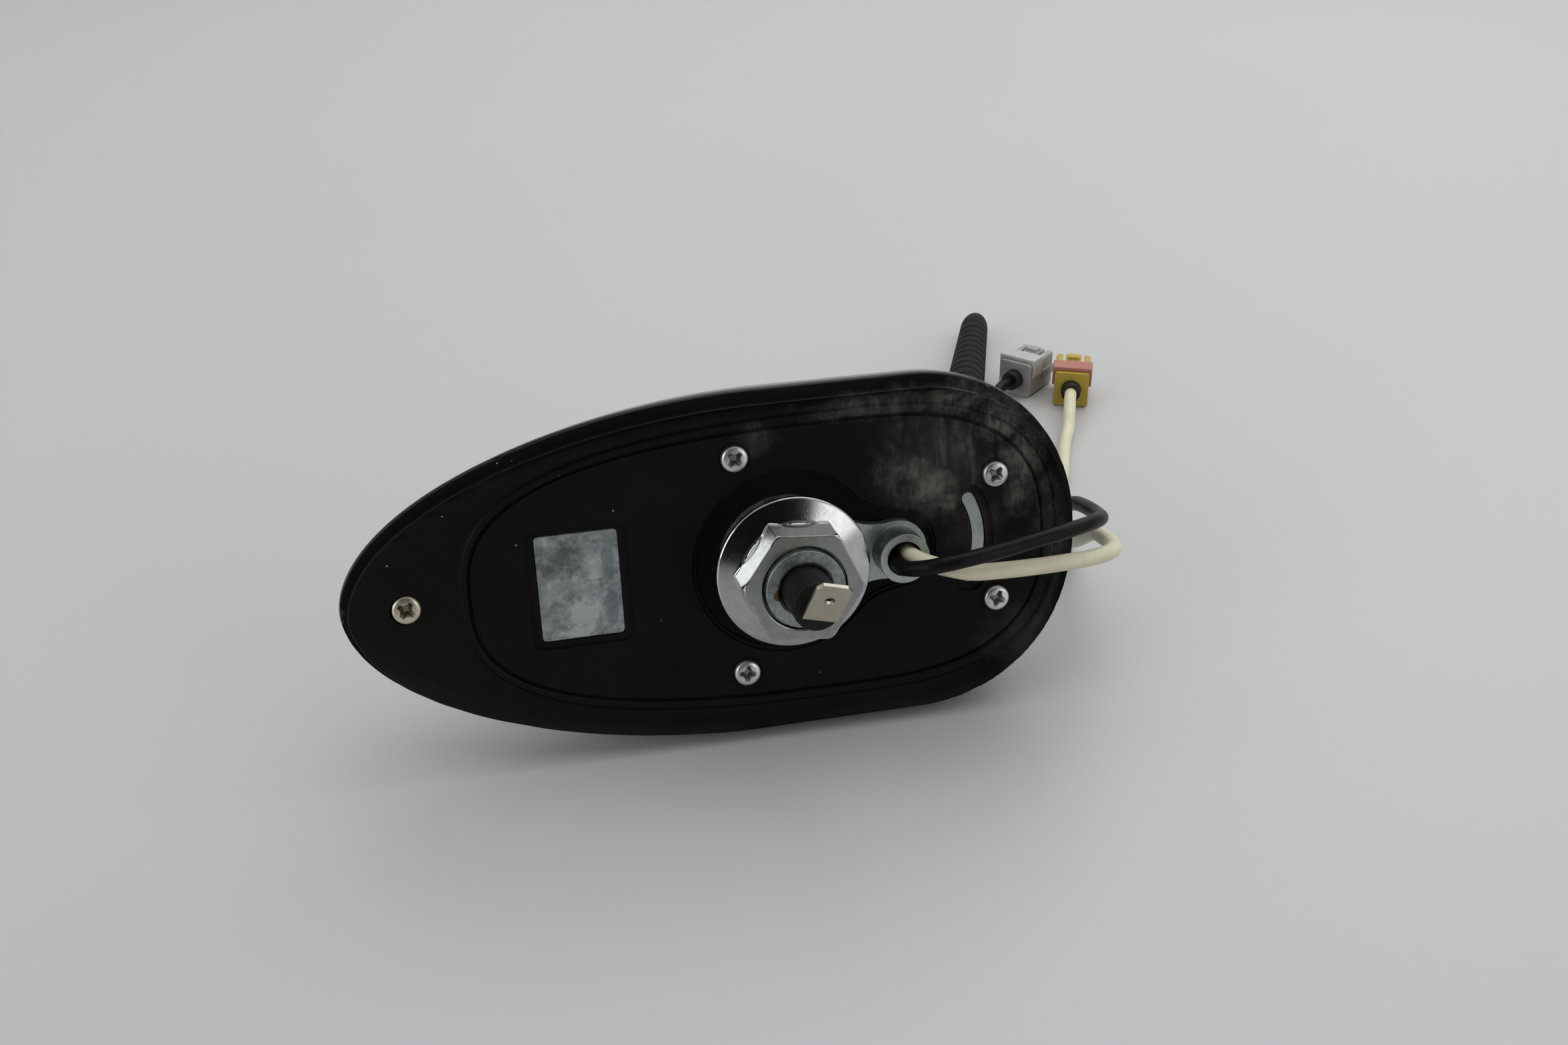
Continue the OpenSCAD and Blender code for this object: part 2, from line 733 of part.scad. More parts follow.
module circuit_board() {
    color([0.1, 0.35, 0.2]) difference() {
        translate([0, 0, board_bottom]) linear_extrude(board_t)
            polygon(egg(board_nose, -board_tail, board_half, 0, 0, 2.6, 6));
        at_places(board_places) translate([0, 0, board_bottom - 1])
            cylinder(d = board_screw_d + 0.4, h = board_t + 2);
    }
}

module board_screws() {
    color([0.75, 0.78, 0.8]) at_places(board_places) translate([0, 0, board_top])
        rotate([180, 0, 0]) pan_screw(4, board_screw_l, board_screw_d, 1.6);
}

can_l = 24;
can_w = 20;
can_wall = 0.4;
can_x = 0;
can_vent_d = 1.4;
can_vent_pitch = [4, 5];

module shield_can() {
    color([0.72, 0.73, 0.74]) translate([can_x, 0, board_top]) difference() {
        linear_extrude(can_h) round_rectangle(can_l, can_w, 1);
        translate([0, 0, -eps]) linear_extrude(can_h - can_wall + eps)
            round_rectangle(can_l - 2 * can_wall, can_w - 2 * can_wall, 0.7);
        for (i = [-2:2], j = [-1:1])
            translate([i * can_vent_pitch[0], j * can_vent_pitch[1], can_h - 1])
                cylinder(d = can_vent_d, h = 2, $fn = 24);
    }
}

chip_size = [2, 1.2, 1];
chip_pitch = 4;
chip_y = -3;
filter_size = [6, 5, 1.2];
filter_place = [-5, 2];
capacitor_d = 5;
capacitor_h = 5.4;
capacitor_place = [-19, 6];
coil_size = [4, 3, 1.8];
coil_x = -20;

module board_components() {
    color([0.2, 0.2, 0.22]) {
        for (i = [-2:2])
            translate([can_x + i * chip_pitch - chip_size[0] / 2, chip_y, board_top])
                cube(chip_size);
        translate([can_x + filter_place[0], filter_place[1], board_top]) cube(filter_size);
        for (side = [-1, 1])
            translate([capacitor_place[0], side * capacitor_place[1], board_top])
                cylinder(d = capacitor_d, h = capacitor_h);
        translate([coil_x, -coil_size[1] / 2, board_top]) cube(coil_size);
    }
}

patch_margin = 2;
patch_pin_d = 2;
patch_pin_h = 0.7;
patch_pin_x = 1.8;

module patch_ceramic() {
    color([0.82, 0.78, 0.66]) translate([patch_x, 0, board_top])
        linear_extrude(patch_t) round_rectangle(patch_side, patch_side, 1.5);
}

module patch_electrode() {
    color([0.85, 0.86, 0.88]) translate([patch_x, 0, board_top + patch_t]) {
        linear_extrude(0.2)
            round_rectangle(patch_side - 2 * patch_margin, patch_side - 2 * patch_margin, 1.2);
        translate([patch_pin_x, 0, 0]) cylinder(d = patch_pin_d, h = patch_pin_h, $fn = 24);
    }
}

/* Leads */

// Routes of the two leads, from the board out of the spigot, round the tail of
// the housing and along the surface on which the antenna lies on its side.
black_route = [
    [-18.8, -0.6, board_bottom], [-18.8, -0.6, 3], [-18.8, -0.6, -2], [-18.9, -0.6, -6.4],
    [-19.9, -0.5, -9.8], [-22.3, -0.4, -12.6], [-26, -0.1, -14], [-31.5, 0.3, -13.8],
    [-37.5, 0.9, -12.8], [-43.5, 1.9, -12], [-49.5, 2.8, -10.8], [-54.8, 3, -8.2],
    [-58.4, 2.4, -4.2], [-60, 1.4, 0.6], [-60.6, 0.7, 7], [-61.1, -0.6, 14],
    [-62.3, -3.6, 22], [-64, -7.4, 30], [-66.2, -11.6, 39], [-68.7, -15.6, 48.5],
    [-71.3, -18.9, 58.5], [-74, -20.4, 68], [-76.6, -19.2, 77], [-79.4, -17.6, 86.5],
    [-80.9, -15.9, 96], [-82, -14.4, 105], [-82.8, -12.5, 113.5], [-83.5, -10, 120],
    [-84.6, -8.3, 125.5], [-87, -7.4, 129.8], [-90.7, -6.9, 133.1]
];
white_route = [
    [-21.7, 0.4, board_bottom], [-21.7, 0.4, 3], [-21.7, 0.4, -1.5], [-21.6, 0.35, -4.75],
    [-22.3, 0.15, -7.2], [-23.8, -0.3, -9.25], [-26.6, -1.4, -10.9], [-31, -2.9, -11.1],
    [-36, -3.4, -10.7], [-42.8, -3.7, -10.3], [-50, -3.6, -9.8], [-56, -3.7, -8.2], [-60.6, -4, -4.6],
    [-62.7, -4.6, 0.6], [-63.8, -5.6, 7.4], [-65.6, -7.6, 15], [-67.6, -10.8, 23],
    [-69.6, -14.6, 31.5], [-71.8, -18.4, 40.5], [-74.3, -21.4, 50], [-77.2, -22, 60],
    [-80.2, -20.2, 69.5], [-83.4, -18.8, 78], [-87, -17.8, 86], [-90.4, -16.5, 94],
    [-94, -15.2, 102], [-97, -13.6, 107.5], [-99.3, -11.3, 112.5], [-101.2, -9.6, 116.9],
    [-103.4, -8.8, 121.9]
];

function straight(v) = v / norm(v);

// Round tube through the points of a route, square to it at both ends.
module lead(route, d) {
    sides = 8;
    last = len(route) - 1;
    rings = [for (i = [0:last])
        let (
            t = straight(route[min(i + 1, last)] - route[max(i - 1, 0)]),
            u = straight(cross(t, [0, 1, 0])),
            v = cross(t, u)
        )
        [for (k = [0:sides - 1])
            route[i] + d / 2 * (u * cos(360 * k / sides) + v * sin(360 * k / sides))]];
    skin(rings);
}

module black_cable() {
    color([0.04, 0.04, 0.04]) lead(black_route, black_d);
}

module white_cable() {
    color([0.88, 0.87, 0.8]) lead(white_route, white_d);
}

module cable_seal() {
    color([0.1, 0.1, 0.1]) difference() {
        translate([-spigot_x, 0, plate_top]) cylinder(d = spigot_d + 2, h = 3);
        translate([black_route[0][0], black_route[0][1], 0])
            cylinder(d = black_d + fit_gap, h = board_bottom);
        translate([white_route[0][0], white_route[0][1], 0])
            cylinder(d = white_d + fit_gap, h = board_bottom);
    }
}

// The surface on which the leads lie, as turns about X, Y and Z.
lie_turn = [-99.7, 0, 0.7];
grey_heading = -138;
yellow_heading = -113.5;

module on_plug(route, heading) {
    translate(route[len(route) - 1]) rotate(lie_turn) rotate([0, 0, heading])
        children();
}

module along_axis(d, start, l) {
    translate([start, 0, 0]) rotate([0, 90, 0]) cylinder(d = d, h = l);
}

mouth_depth = 8;
barrel_d = 3.8;
barrel_wall = 0.4;
contact_d = 0.9;
lock_t = 1.1;
lock_l = 5;

// Square plug housing: the cable enters at x = 0 and the mouth faces +X.
module plug_housing() {
    back = boot_l;
    mouth = back + plug_l;
    difference() {
        union() {
            translate([back, 0, 0]) rotate([90, 0, 90]) linear_extrude(plug_l)
                round_rectangle(plug_w, plug_h, 0.8);
            translate([mouth - 4, -1.6, plug_h / 2 - eps]) cube([2.4, 3.2, 0.9]);
            for (side = [-1, 1])
                translate([back + lock_l + 2, side * plug_w / 2 - 0.5, -1.2])
                    cube([plug_l - lock_l - 2, 1, 2.4]);
        }
        translate([mouth - mouth_depth, 0, 0]) rotate([90, 0, 90])
            linear_extrude(mouth_depth + 1)
            round_rectangle(plug_w - 2 * plug_wall, plug_h - 2 * plug_wall, 0.5);
        along_axis(boot_d, back - 1, 3);
        along_axis(barrel_d, back + 2 - eps, plug_l);
        for (side = [-1, 1])
            translate([mouth - mouth_depth + 1, side * plug_w * 0.27 - 0.4, plug_h / 2 - 2])
                cube([mouth_depth, 0.8, 4]);
    }
}

module plug_boot() {
    along_axis(boot_d, 0, boot_l + 2);
}

module plug_barrel() {
    difference() {
        along_axis(barrel_d, boot_l + 2, plug_l - 3);
        along_axis(barrel_d - 2 * barrel_wall, boot_l + 4, plug_l);
    }
}

module plug_contact() {
    along_axis(contact_d, boot_l + 4, plug_l - 6);
}

// Slide-in saddle that locks the contact, on the top and sides of the housing.
module plug_lock() {
    l = lock_l;
    translate([boot_l + 1, 0, 0]) rotate([90, 0, 90]) linear_extrude(l) difference() {
        translate([-plug_w / 2 - 0.6, plug_h / 2 - 4]) square([plug_w + 1.2, 4 + lock_t]);
        round_rectangle(plug_w, plug_h, 0.8);
    }
}

module grey_plug_housing() {
    color([0.62, 0.62, 0.6]) on_plug(black_route, grey_heading) plug_housing();
}

module grey_plug_boot() {
    color([0.05, 0.05, 0.06]) on_plug(black_route, grey_heading) plug_boot();
}

module grey_plug_barrel() {
    color([0.8, 0.8, 0.78]) on_plug(black_route, grey_heading) plug_barrel();
}

module grey_plug_contact() {
    color([0.85, 0.72, 0.4]) on_plug(black_route, grey_heading) plug_contact();
}

module grey_plug_lock() {
    color([0.75, 0.75, 0.73]) on_plug(black_route, grey_heading) plug_lock();
}

module yellow_plug_housing() {
    color([0.72, 0.6, 0.15]) on_plug(white_route, yellow_heading) plug_housing();
}

module yellow_plug_boot() {
    color([0.05, 0.05, 0.06]) on_plug(white_route, yellow_heading) plug_boot();
}

module yellow_plug_barrel() {
    color([0.8, 0.8, 0.78]) on_plug(white_route, yellow_heading) plug_barrel();
}

module yellow_plug_contact() {
    color([0.85, 0.72, 0.4]) on_plug(white_route, yellow_heading) plug_contact();
}

module yellow_plug_lock() {
    color([0.75, 0.45, 0.4]) on_plug(white_route, yellow_heading) plug_lock();
}

housing_cover();
base_plate();
gasket();
flange_nut();
terminal_insulator();
spade_terminal();
front_screw();
middle_screws();
rear_screws();
mast_sleeve();
mast_core();
mast_winding();
mast_ferrule();
mast_insert();
feed_strip();
circuit_board();
board_screws();
shield_can();
board_components();
patch_ceramic();
patch_electrode();
cable_seal();
black_cable();
white_cable();
grey_plug_housing();
grey_plug_boot();
grey_plug_barrel();
grey_plug_contact();
grey_plug_lock();
yellow_plug_housing();
yellow_plug_boot();
yellow_plug_barrel();
yellow_plug_contact();
yellow_plug_lock();
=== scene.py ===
"""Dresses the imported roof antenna: housing, gasket, base, roof fixing, mast, leads, plugs and stage."""

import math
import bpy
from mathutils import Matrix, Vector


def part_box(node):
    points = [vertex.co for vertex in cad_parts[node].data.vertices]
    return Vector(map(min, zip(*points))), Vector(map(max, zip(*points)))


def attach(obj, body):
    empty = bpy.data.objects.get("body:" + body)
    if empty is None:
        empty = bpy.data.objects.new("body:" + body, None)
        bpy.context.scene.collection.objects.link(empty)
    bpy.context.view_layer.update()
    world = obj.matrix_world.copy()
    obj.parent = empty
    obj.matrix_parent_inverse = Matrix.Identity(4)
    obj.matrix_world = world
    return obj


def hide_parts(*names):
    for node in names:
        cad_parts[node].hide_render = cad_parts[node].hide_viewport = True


bl_info = {
    "name": "Roof antenna",
    "version": (1, 0, 0),
    "blender": (4, 5, 0),
    "location": "3D View > Sidebar > Antenna",
    "description": "Builds the finished surfaces of a car roof antenna around its packed solids",
    "category": "Object",
}

import bmesh
import bpy
import numpy as np
from bpy.props import FloatProperty, FloatVectorProperty, IntProperty, PointerProperty
from mathutils import Matrix, Vector, geometry, noise

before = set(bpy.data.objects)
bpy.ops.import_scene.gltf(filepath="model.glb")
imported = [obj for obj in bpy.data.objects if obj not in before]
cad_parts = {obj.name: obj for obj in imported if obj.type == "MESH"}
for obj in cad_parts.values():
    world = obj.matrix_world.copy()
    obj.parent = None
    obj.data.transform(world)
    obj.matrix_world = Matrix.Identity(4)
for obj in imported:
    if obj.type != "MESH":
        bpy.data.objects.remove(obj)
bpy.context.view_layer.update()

MM = 0.001
COVER_LOW, COVER_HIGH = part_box("housing_cover")
NUT_LOW, NUT_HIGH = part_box("flange_nut")
GASKET_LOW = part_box("gasket")[0]


# Settings


def size(name, about, value, high=0.3):
    return FloatProperty(
        name=name, description=about, default=value, min=0.0, max=high, precision=5, unit="LENGTH"
    )


def share(name, about, value):
    return FloatProperty(name=name, description=about, default=value, min=0.0, max=1.0, subtype="FACTOR")


def turn(name, about, degrees):
    return FloatProperty(name=name, description=about, default=math.radians(degrees), subtype="ANGLE")


def amount(name, about, value, unit):
    return FloatProperty(name=name, description=about, default=value, unit=unit)


def tint(name, about, red, green, blue):
    return FloatVectorProperty(
        name=name, description=about, size=4, subtype="COLOR", min=0.0, max=1.0,
        default=(red, green, blue, 1.0),
    )


class HousingSettings(bpy.types.PropertyGroup):
    nose: size("Nose", "Nose of the housing, ahead of the stud", COVER_HIGH.x)
    tail: size("Tail", "Tail of the housing, behind the stud", -COVER_LOW.x)
    half_width: size("Half width", "Half the width of the housing", COVER_HIGH.y)
    height: size("Height", "Height of the dome above the roof", 36 * MM)
    edge: size("Edge", "Height of the housing's lower edge above the roof", COVER_LOW.z)
    wall: size("Wall", "Wall of the housing", 2.2 * MM)
    turret_radius: size("Turret radius", "Radius of the turret under the mast", 8.7 * MM)
    turret_flare: share("Turret flare", "Widening of the turret for each unit of depth", 0.39)
    blend: size("Blend", "Reach of the fillet between dome and turret", 4 * MM)
    boss_diameter: size("Boss", "Outer diameter of the screw bosses", 7.2 * MM)
    colour: tint("Colour", "Glossy moulded black", 0.012, 0.012, 0.013)
    dust: tint("Dust", "Dust and fine hairlines on the gloss", 0.21, 0.2, 0.19)


class GasketSettings(bpy.types.PropertyGroup):
    field_nose: size("Field nose", "Nose of the flat field, ahead of the stud", 56.2 * MM)
    field_tail: size("Field tail", "Tail of the flat field, behind the stud", 48.3 * MM)
    field_half: size("Field half width", "Half the width of the flat field", 25 * MM)
    lip_drop: size("Lip drop", "How far the lip hangs below the field", -GASKET_LOW.z)
    lip_inset: size("Lip inset", "How far the lip stands in from the housing", 1.4 * MM)
    lip_short: size("Lip shortfall", "How much further in the lip stands on its left side", 0.7 * MM)
    bead_height: size("Bead height", "Height of the sealing bead", 0.5 * MM)
    bead_front: size("Bead at the front", "Width of the bead at the front", 0.9 * MM)
    bead_rear: size("Bead at the rear", "Width of the bead at the rear", 1.8 * MM)
    ragged: size("Ragged edge", "Depth of the nicks along the trimmed lip", 0.16 * MM)
    colour: tint("Colour", "Matt black rubber", 0.0027, 0.0029, 0.0023)
    # Paints the soft sheen of reflected light on the rear of the field as well as the marks of rubbing.
    rubbed_and_sheen: tint("Rubbed colour", "Grey where the rubber was rubbed", 0.16, 0.151, 0.135)
    speck: tint("Speck", "Pale lint and dust on the rubber", 0.42, 0.41, 0.38)


class FixingSettings(bpy.types.PropertyGroup):
    across_flats: size("Across flats", "Width of the nut across its flats", 19 * MM)
    flange_diameter: size("Flange", "Diameter of the nut's flange", NUT_HIGH.x - NUT_LOW.x)
    nut_height: size("Nut height", "Height of the nut, flange included", NUT_HIGH.z - NUT_LOW.z)
    nut_turn: turn("Nut turn", "Turn of the nut on the stud", 5.8)
    stud_diameter: size("Stud", "Diameter of the threaded stud", 14 * MM)
    chrome: tint("Chrome", "Bright plating of the nut", 0.6, 0.61, 0.61)
    zinc: tint("Zinc", "Bare zinc casting", 0.22, 0.25, 0.255)
    bloom: tint("Bloom", "White bloom on the zinc", 0.64, 0.68, 0.66)
    residue: tint("Residue", "Brown residue in the stud's mouth", 0.16, 0.11, 0.04)


class TerminalSettings(bpy.types.PropertyGroup):
    blade: tint("Blade", "Tinned brass of the spade terminal", 0.52, 0.48, 0.385)
    sleeve: tint("Sleeve", "Black insulator", 0.0055, 0.0055, 0.0055)
    residue: tint("Residue", "Brown flux residue at the insulator", 0.2, 0.14, 0.06)


class ScrewSettings(bpy.types.PropertyGroup):
    front_head: size("Front head", "Head diameter of the front screw", 5.4 * MM)
    head: size("Heads", "Head diameter of the other screws", 5.1 * MM)
    head_height: size("Head height", "Height of the heads", 2.1 * MM)
    shank: size("Shank", "Diameter of the shanks", 2.9 * MM)
    cross_turn: turn("Cross turn", "Turn of the cross recesses", 30)
    brassy: tint("Front plating", "Yellowish plating of the front screw", 0.74, 0.69, 0.55)
    zinc: tint("Plating", "Pale plating of the other screws", 0.78, 0.8, 0.77)


class MastSettings(bpy.types.PropertyGroup):
    foot_x: size("Foot", "Distance of the mast's foot behind the stud", 42.7 * MM)
    lean: turn("Lean", "Lean of the mast back from upright", 20.8)
    length: size("Length", "Length of the mast above the housing", 157 * MM)
    foot_radius: size("Foot radius", "Radius of the mast above its foot", 5.7 * MM)
    tip_radius: size("Tip radius", "Radius of the mast below its rounded tip", 3.85 * MM)
    ring_pitch: size("Ring pitch", "Distance between the mast's rings", 6.2 * MM)
    ring_depth: size("Ring depth", "Depth of the grooves between the rings", 0.35 * MM)
    rubber: tint("Rubber", "Grey-black rubber of the mast", 0.003, 0.003, 0.003)
    worn: tint("Worn rubber", "Dusty crests of the mast's rings", 0.009, 0.009, 0.0085)


class LeadSettings(bpy.types.PropertyGroup):
    black_diameter: size("Black lead", "Diameter of the black lead", 2.85 * MM)
    white_diameter: size("White lead", "Diameter of the white lead", 3.05 * MM)
    sides: IntProperty(name="Sides", description="Sides of a lead's round section", default=28, min=8, max=64)
    black: tint("Black jacket", "Satin black cable jacket", 0.003, 0.003, 0.003)
    white: tint("White jacket", "Cream-white cable jacket", 0.73, 0.7, 0.5)
    grime: tint("Grime", "Grey handling marks on the white jacket", 0.3, 0.27, 0.21)


class PlugSettings(bpy.types.PropertyGroup):
    edge: size("Edge", "Rounding of the plugs' edges", 0.25 * MM)
    grey: tint("Grey plug", "Light grey moulded plug", 0.36, 0.36, 0.35)
    yellow: tint("Yellow plug", "Curry yellow moulded plug", 0.5, 0.36, 0.045)
    grey_lock: tint("Grey lock", "Pale grey saddle", 0.5, 0.5, 0.49)
    pink_lock: tint("Pink lock", "Dusty pink saddle", 0.45, 0.17, 0.13)
    boot: tint("Boot", "Black rubber boot", 0.012, 0.012, 0.012)


class StageSettings(bpy.types.PropertyGroup):
    floor: tint("Floor", "Pale grey table top", 0.54, 0.54, 0.54)
    sky: share("Surround", "Brightness of the pale surround", 1.0)
    key: amount("Key lamp", "Power of the large lamp above", 4.6, "POWER")
    front: amount("Front lamp", "Power of the lamp at the nose's side", 2.4, "POWER")
    rear: amount("Rear lamp", "Power of the lamp at the mast's side", 0.8, "POWER")
    card_distance: size(
        "Card distance", "Distance of the black card behind the camera from the stud", 750 * MM, 2.0
    )
    card_width: size("Card width", "Width of the black card behind the camera", 1000 * MM, 2.0)
    lens: amount("Lens", "Focal length of the camera", 24.0, "CAMERA")
    sensor: amount("Sensor", "Width of the camera's sensor", 22.3, "CAMERA")


class AntennaSettings(bpy.types.PropertyGroup):
    housing: PointerProperty(type=HousingSettings)
    gasket: PointerProperty(type=GasketSettings)
    fixing: PointerProperty(type=FixingSettings)
    terminal: PointerProperty(type=TerminalSettings)
    screws: PointerProperty(type=ScrewSettings)
    mast: PointerProperty(type=MastSettings)
    leads: PointerProperty(type=LeadSettings)
    plugs: PointerProperty(type=PlugSettings)
    stage: PointerProperty(type=StageSettings)


def settings():
    return bpy.context.scene.antenna


# Node trees


class Graph:
    """Adds nodes to a tree and joins them."""

    def __init__(self, tree):
        self.tree = tree

    def feed(self, socket, value):
        if isinstance(value, bpy.types.NodeSocket):
            self.tree.links.new(value, socket)
        else:
            socket.default_value = value

    def node(self, kind, inputs=(), **settings):
        made = self.tree.nodes.new(kind)
        for key, value in settings.items():
            setattr(made, key, value)
        for key, value in dict(inputs).items():
            self.feed(made.inputs[key], value)
        return made

    def math(self, operation, *values, clamp=False):
        inputs = dict(enumerate(values))
        return self.node("ShaderNodeMath", inputs, operation=operation, use_clamp=clamp).outputs[0]

    def vector(self, operation, *values):
        made = self.node("ShaderNodeVectorMath", dict(enumerate(values)), operation=operation)
        return made.outputs[1 if operation in ("DOT_PRODUCT", "LENGTH", "DISTANCE") else 0]

    def scaled(self, vector, factors):
        return self.vector("MULTIPLY", vector, factors)

    def noise(self, vector, scale, detail=3.0, roughness=0.5, distortion=0.0):
        inputs = {
            "Vector": vector, "Scale": scale, "Detail": detail, "Roughness": roughness,
            "Distortion": distortion,
        }
        return self.node("ShaderNodeTexNoise", inputs).outputs["Fac"]

    def step(self, value, low, high, start=0.0, end=1.0):
        """Smooth step: start where value is below low, end where it is above high."""
        inputs = {0: value, 1: low, 2: high, 3: start, 4: end}
        return self.node("ShaderNodeMapRange", inputs, interpolation_type="SMOOTHSTEP").outputs[0]

    def blend(self, mask, a, b, amount=1.0):
        """Colour a where the mask is 0, and b, by the amount, where it is 1."""
        factor = mask if amount == 1.0 else self.math("MULTIPLY", mask, amount)
        return self.node("ShaderNodeMix", {0: factor, 6: a, 7: b}, data_type="RGBA").outputs[2]

    def away(self, given):
        """Distance of a group's place from its centre, in reaches."""
        offset = self.vector("SUBTRACT", given["Place"], given["Centre"])
        return self.vector("LENGTH", self.vector("DIVIDE", offset, given["Reach"]))

    def raised(self, base, mask, amount):
        """The base and, where the mask is 1, the amount on top."""
        return self.math("ADD", base, self.math("MULTIPLY", mask, amount))

    def total(self, mask, amount, other, share_of_other):
        """Clamped sum of two masks, each by its own amount."""
        parts = self.math("MULTIPLY", mask, amount), self.math("MULTIPLY", other, share_of_other)
        return self.math("ADD", *parts, clamp=True)

    def most(self, masks):
        made = masks[0]
        for mask in masks[1:]:
            made = self.math("MAXIMUM", made, mask)
        return made

    def axis(self, vector, index):
        return self.node("ShaderNodeSeparateXYZ", {0: vector}).outputs[index]

    def facing(self, kind="Normal"):
        """Height of the surface's normal: -1 where it faces down."""
        return self.axis(self.node("ShaderNodeNewGeometry").outputs[kind], 2)

    def realised(self, shape, material):
        real = self.node("GeometryNodeRealizeInstances", {0: shape}).outputs[0]
        return self.node("GeometryNodeSetMaterial", {"Geometry": real, "Material": material}).outputs[0]

    def group(self, tree, **inputs):
        made = self.node("ShaderNodeGroup", node_tree=tree)
        for key, value in inputs.items():
            self.feed(made.inputs[key.replace("_", " ").capitalize()], value)
        return made.outputs[0]


def named_tree(name, kind, inputs, outputs):
    """New node tree with named sockets; returns it with its graph and its two ends."""
    tree = bpy.data.node_groups.new(name, kind)
    for label, socket, value in inputs:
        made = tree.interface.new_socket(label, in_out="INPUT", socket_type=socket)
        if value is not None:
            made.default_value = value
    for label, socket in outputs:
        tree.interface.new_socket(label, in_out="OUTPUT", socket_type=socket)
    graph = Graph(tree)
    return graph, graph.node("NodeGroupInput").outputs, graph.node("NodeGroupOutput").inputs


FLOAT, VECTOR = "NodeSocketFloat", "NodeSocketVector"
GEOMETRY, MATERIAL = "NodeSocketGeometry", "NodeSocketMaterial"
groups = {}


def mask_tree(name, output="Mask", **inputs):
    """Shader group on a place whose other inputs are vectors where they have no default."""
    rows = [("Place", VECTOR, None)]
    rows += [(label, VECTOR if value is None else FLOAT, value) for label, value in inputs.items()]
    return named_tree(name, "ShaderNodeTree", rows, [(output, FLOAT)])


def shader_group(build):
    """The shader group that a function builds, made once."""
    if build.__name__ not in groups:
        groups[build.__name__] = build()
    return groups[build.__name__]


def grain_group():
    """Height of a fine moulded or cast grain with a broader unevenness under it."""
    graph, given, made = mask_tree("surface_grain", "Height", Size=0.3 * MM, Broad=0.4)
    per_metre = graph.math("DIVIDE", 1.0, given["Size"])
    fine = graph.noise(given["Place"], per_metre, 2.0, 0.6)
    coarse = graph.noise(given["Place"], graph.math("DIVIDE", per_metre, 9.0), 3.0, 0.5)
    graph.feed(made["Height"], graph.raised(fine, coarse, given["Broad"]))
    return graph.tree


def streaky_patch_group():
    """Mask of streaky patches round one place, fading with distance: marks of rubbing and residue, and the
    gasket's painted sheen.
    """
    graph, given, made = mask_tree("rub_marks", Centre=None, Reach=None, Streak=600.0, Cover=0.5)
    wobble = graph.noise(given["Place"], 180.0, 5.0, 0.65)
    fade = graph.step(graph.math("MULTIPLY_ADD", wobble, 1.6, graph.away(given)), 1.8, 0.9)
    along = graph.scaled(given["Place"], (1.0, 0.28, 1.0))
    streaks = graph.noise(along, given["Streak"], 6.0, 0.72, 0.6)
    cloud = graph.noise(given["Place"], graph.math("MULTIPLY", given["Streak"], 0.3), 3.0, 0.5)
    mix = graph.math("ADD", graph.math("MULTIPLY", streaks, 0.6), graph.math("MULTIPLY", cloud, 0.4))
    low = graph.math("SUBTRACT", 0.72, graph.math("MULTIPLY", given["Cover"], 0.4))
    mask = graph.step(mix, low, graph.math("ADD", low, 0.28))
    veil = graph.math("MULTIPLY_ADD", mask, 0.85, 0.15)
    graph.feed(made["Mask"], graph.math("MULTIPLY", veil, fade))
    return graph.tree


def specks_group():
    """Mask of sparse tiny specks, such as lint and grit."""
    graph, given, made = mask_tree("specks", Spacing=2 * MM, Share=0.2, Radius=0.1)
    scale = graph.math("DIVIDE", 1.0, given["Spacing"])
    cells = graph.node("ShaderNodeTexVoronoi", {"Vector": given["Place"], "Scale": scale})
    core = graph.math("MULTIPLY", given["Radius"], 0.45)
    shape = graph.step(cells.outputs["Distance"], given["Radius"], core)
    pick = graph.node("ShaderNodeSeparateColor", {0: cells.outputs["Color"]}).outputs[0]
    chosen = graph.math("LESS_THAN", pick, given["Share"])
    graph.feed(made["Mask"], graph.math("MULTIPLY", shape, chosen))
    return graph.tree


def mottle_group():
    """Mask of soft cloudy patches with a definite edge, such as bloom or tarnish."""
    graph, given, made = mask_tree("mottle", Size=4 * MM, Cover=0.5, Softness=0.2)
    value = graph.noise(given["Place"], graph.math("DIVIDE", 1.0, given["Size"]), 5.0, 0.62, 0.4)
    middle = graph.math("SUBTRACT", 0.75, graph.math("MULTIPLY", given["Cover"], 0.5))
    half = graph.math("MULTIPLY", given["Softness"], 0.5)
    low, high = (graph.math(kind, middle, half) for kind in ("SUBTRACT", "ADD"))
    graph.feed(made["Mask"], graph.step(value, low, high))
    return graph.tree


def patch_group():
    """Mask of one blotch with an uneven outline."""
    graph, given, made = mask_tree("blotch", Centre=None, Reach=None, Warp=0.5, Softness=0.3)
    wobble = graph.math("SUBTRACT", graph.noise(given["Place"], 420.0, 6.0, 0.7), 0.5)
    far = graph.raised(graph.away(given), wobble, given["Warp"])
    graph.feed(made["Mask"], graph.step(far, 1.0, graph.math("SUBTRACT", 1.0, given["Softness"])))
    return graph.tree


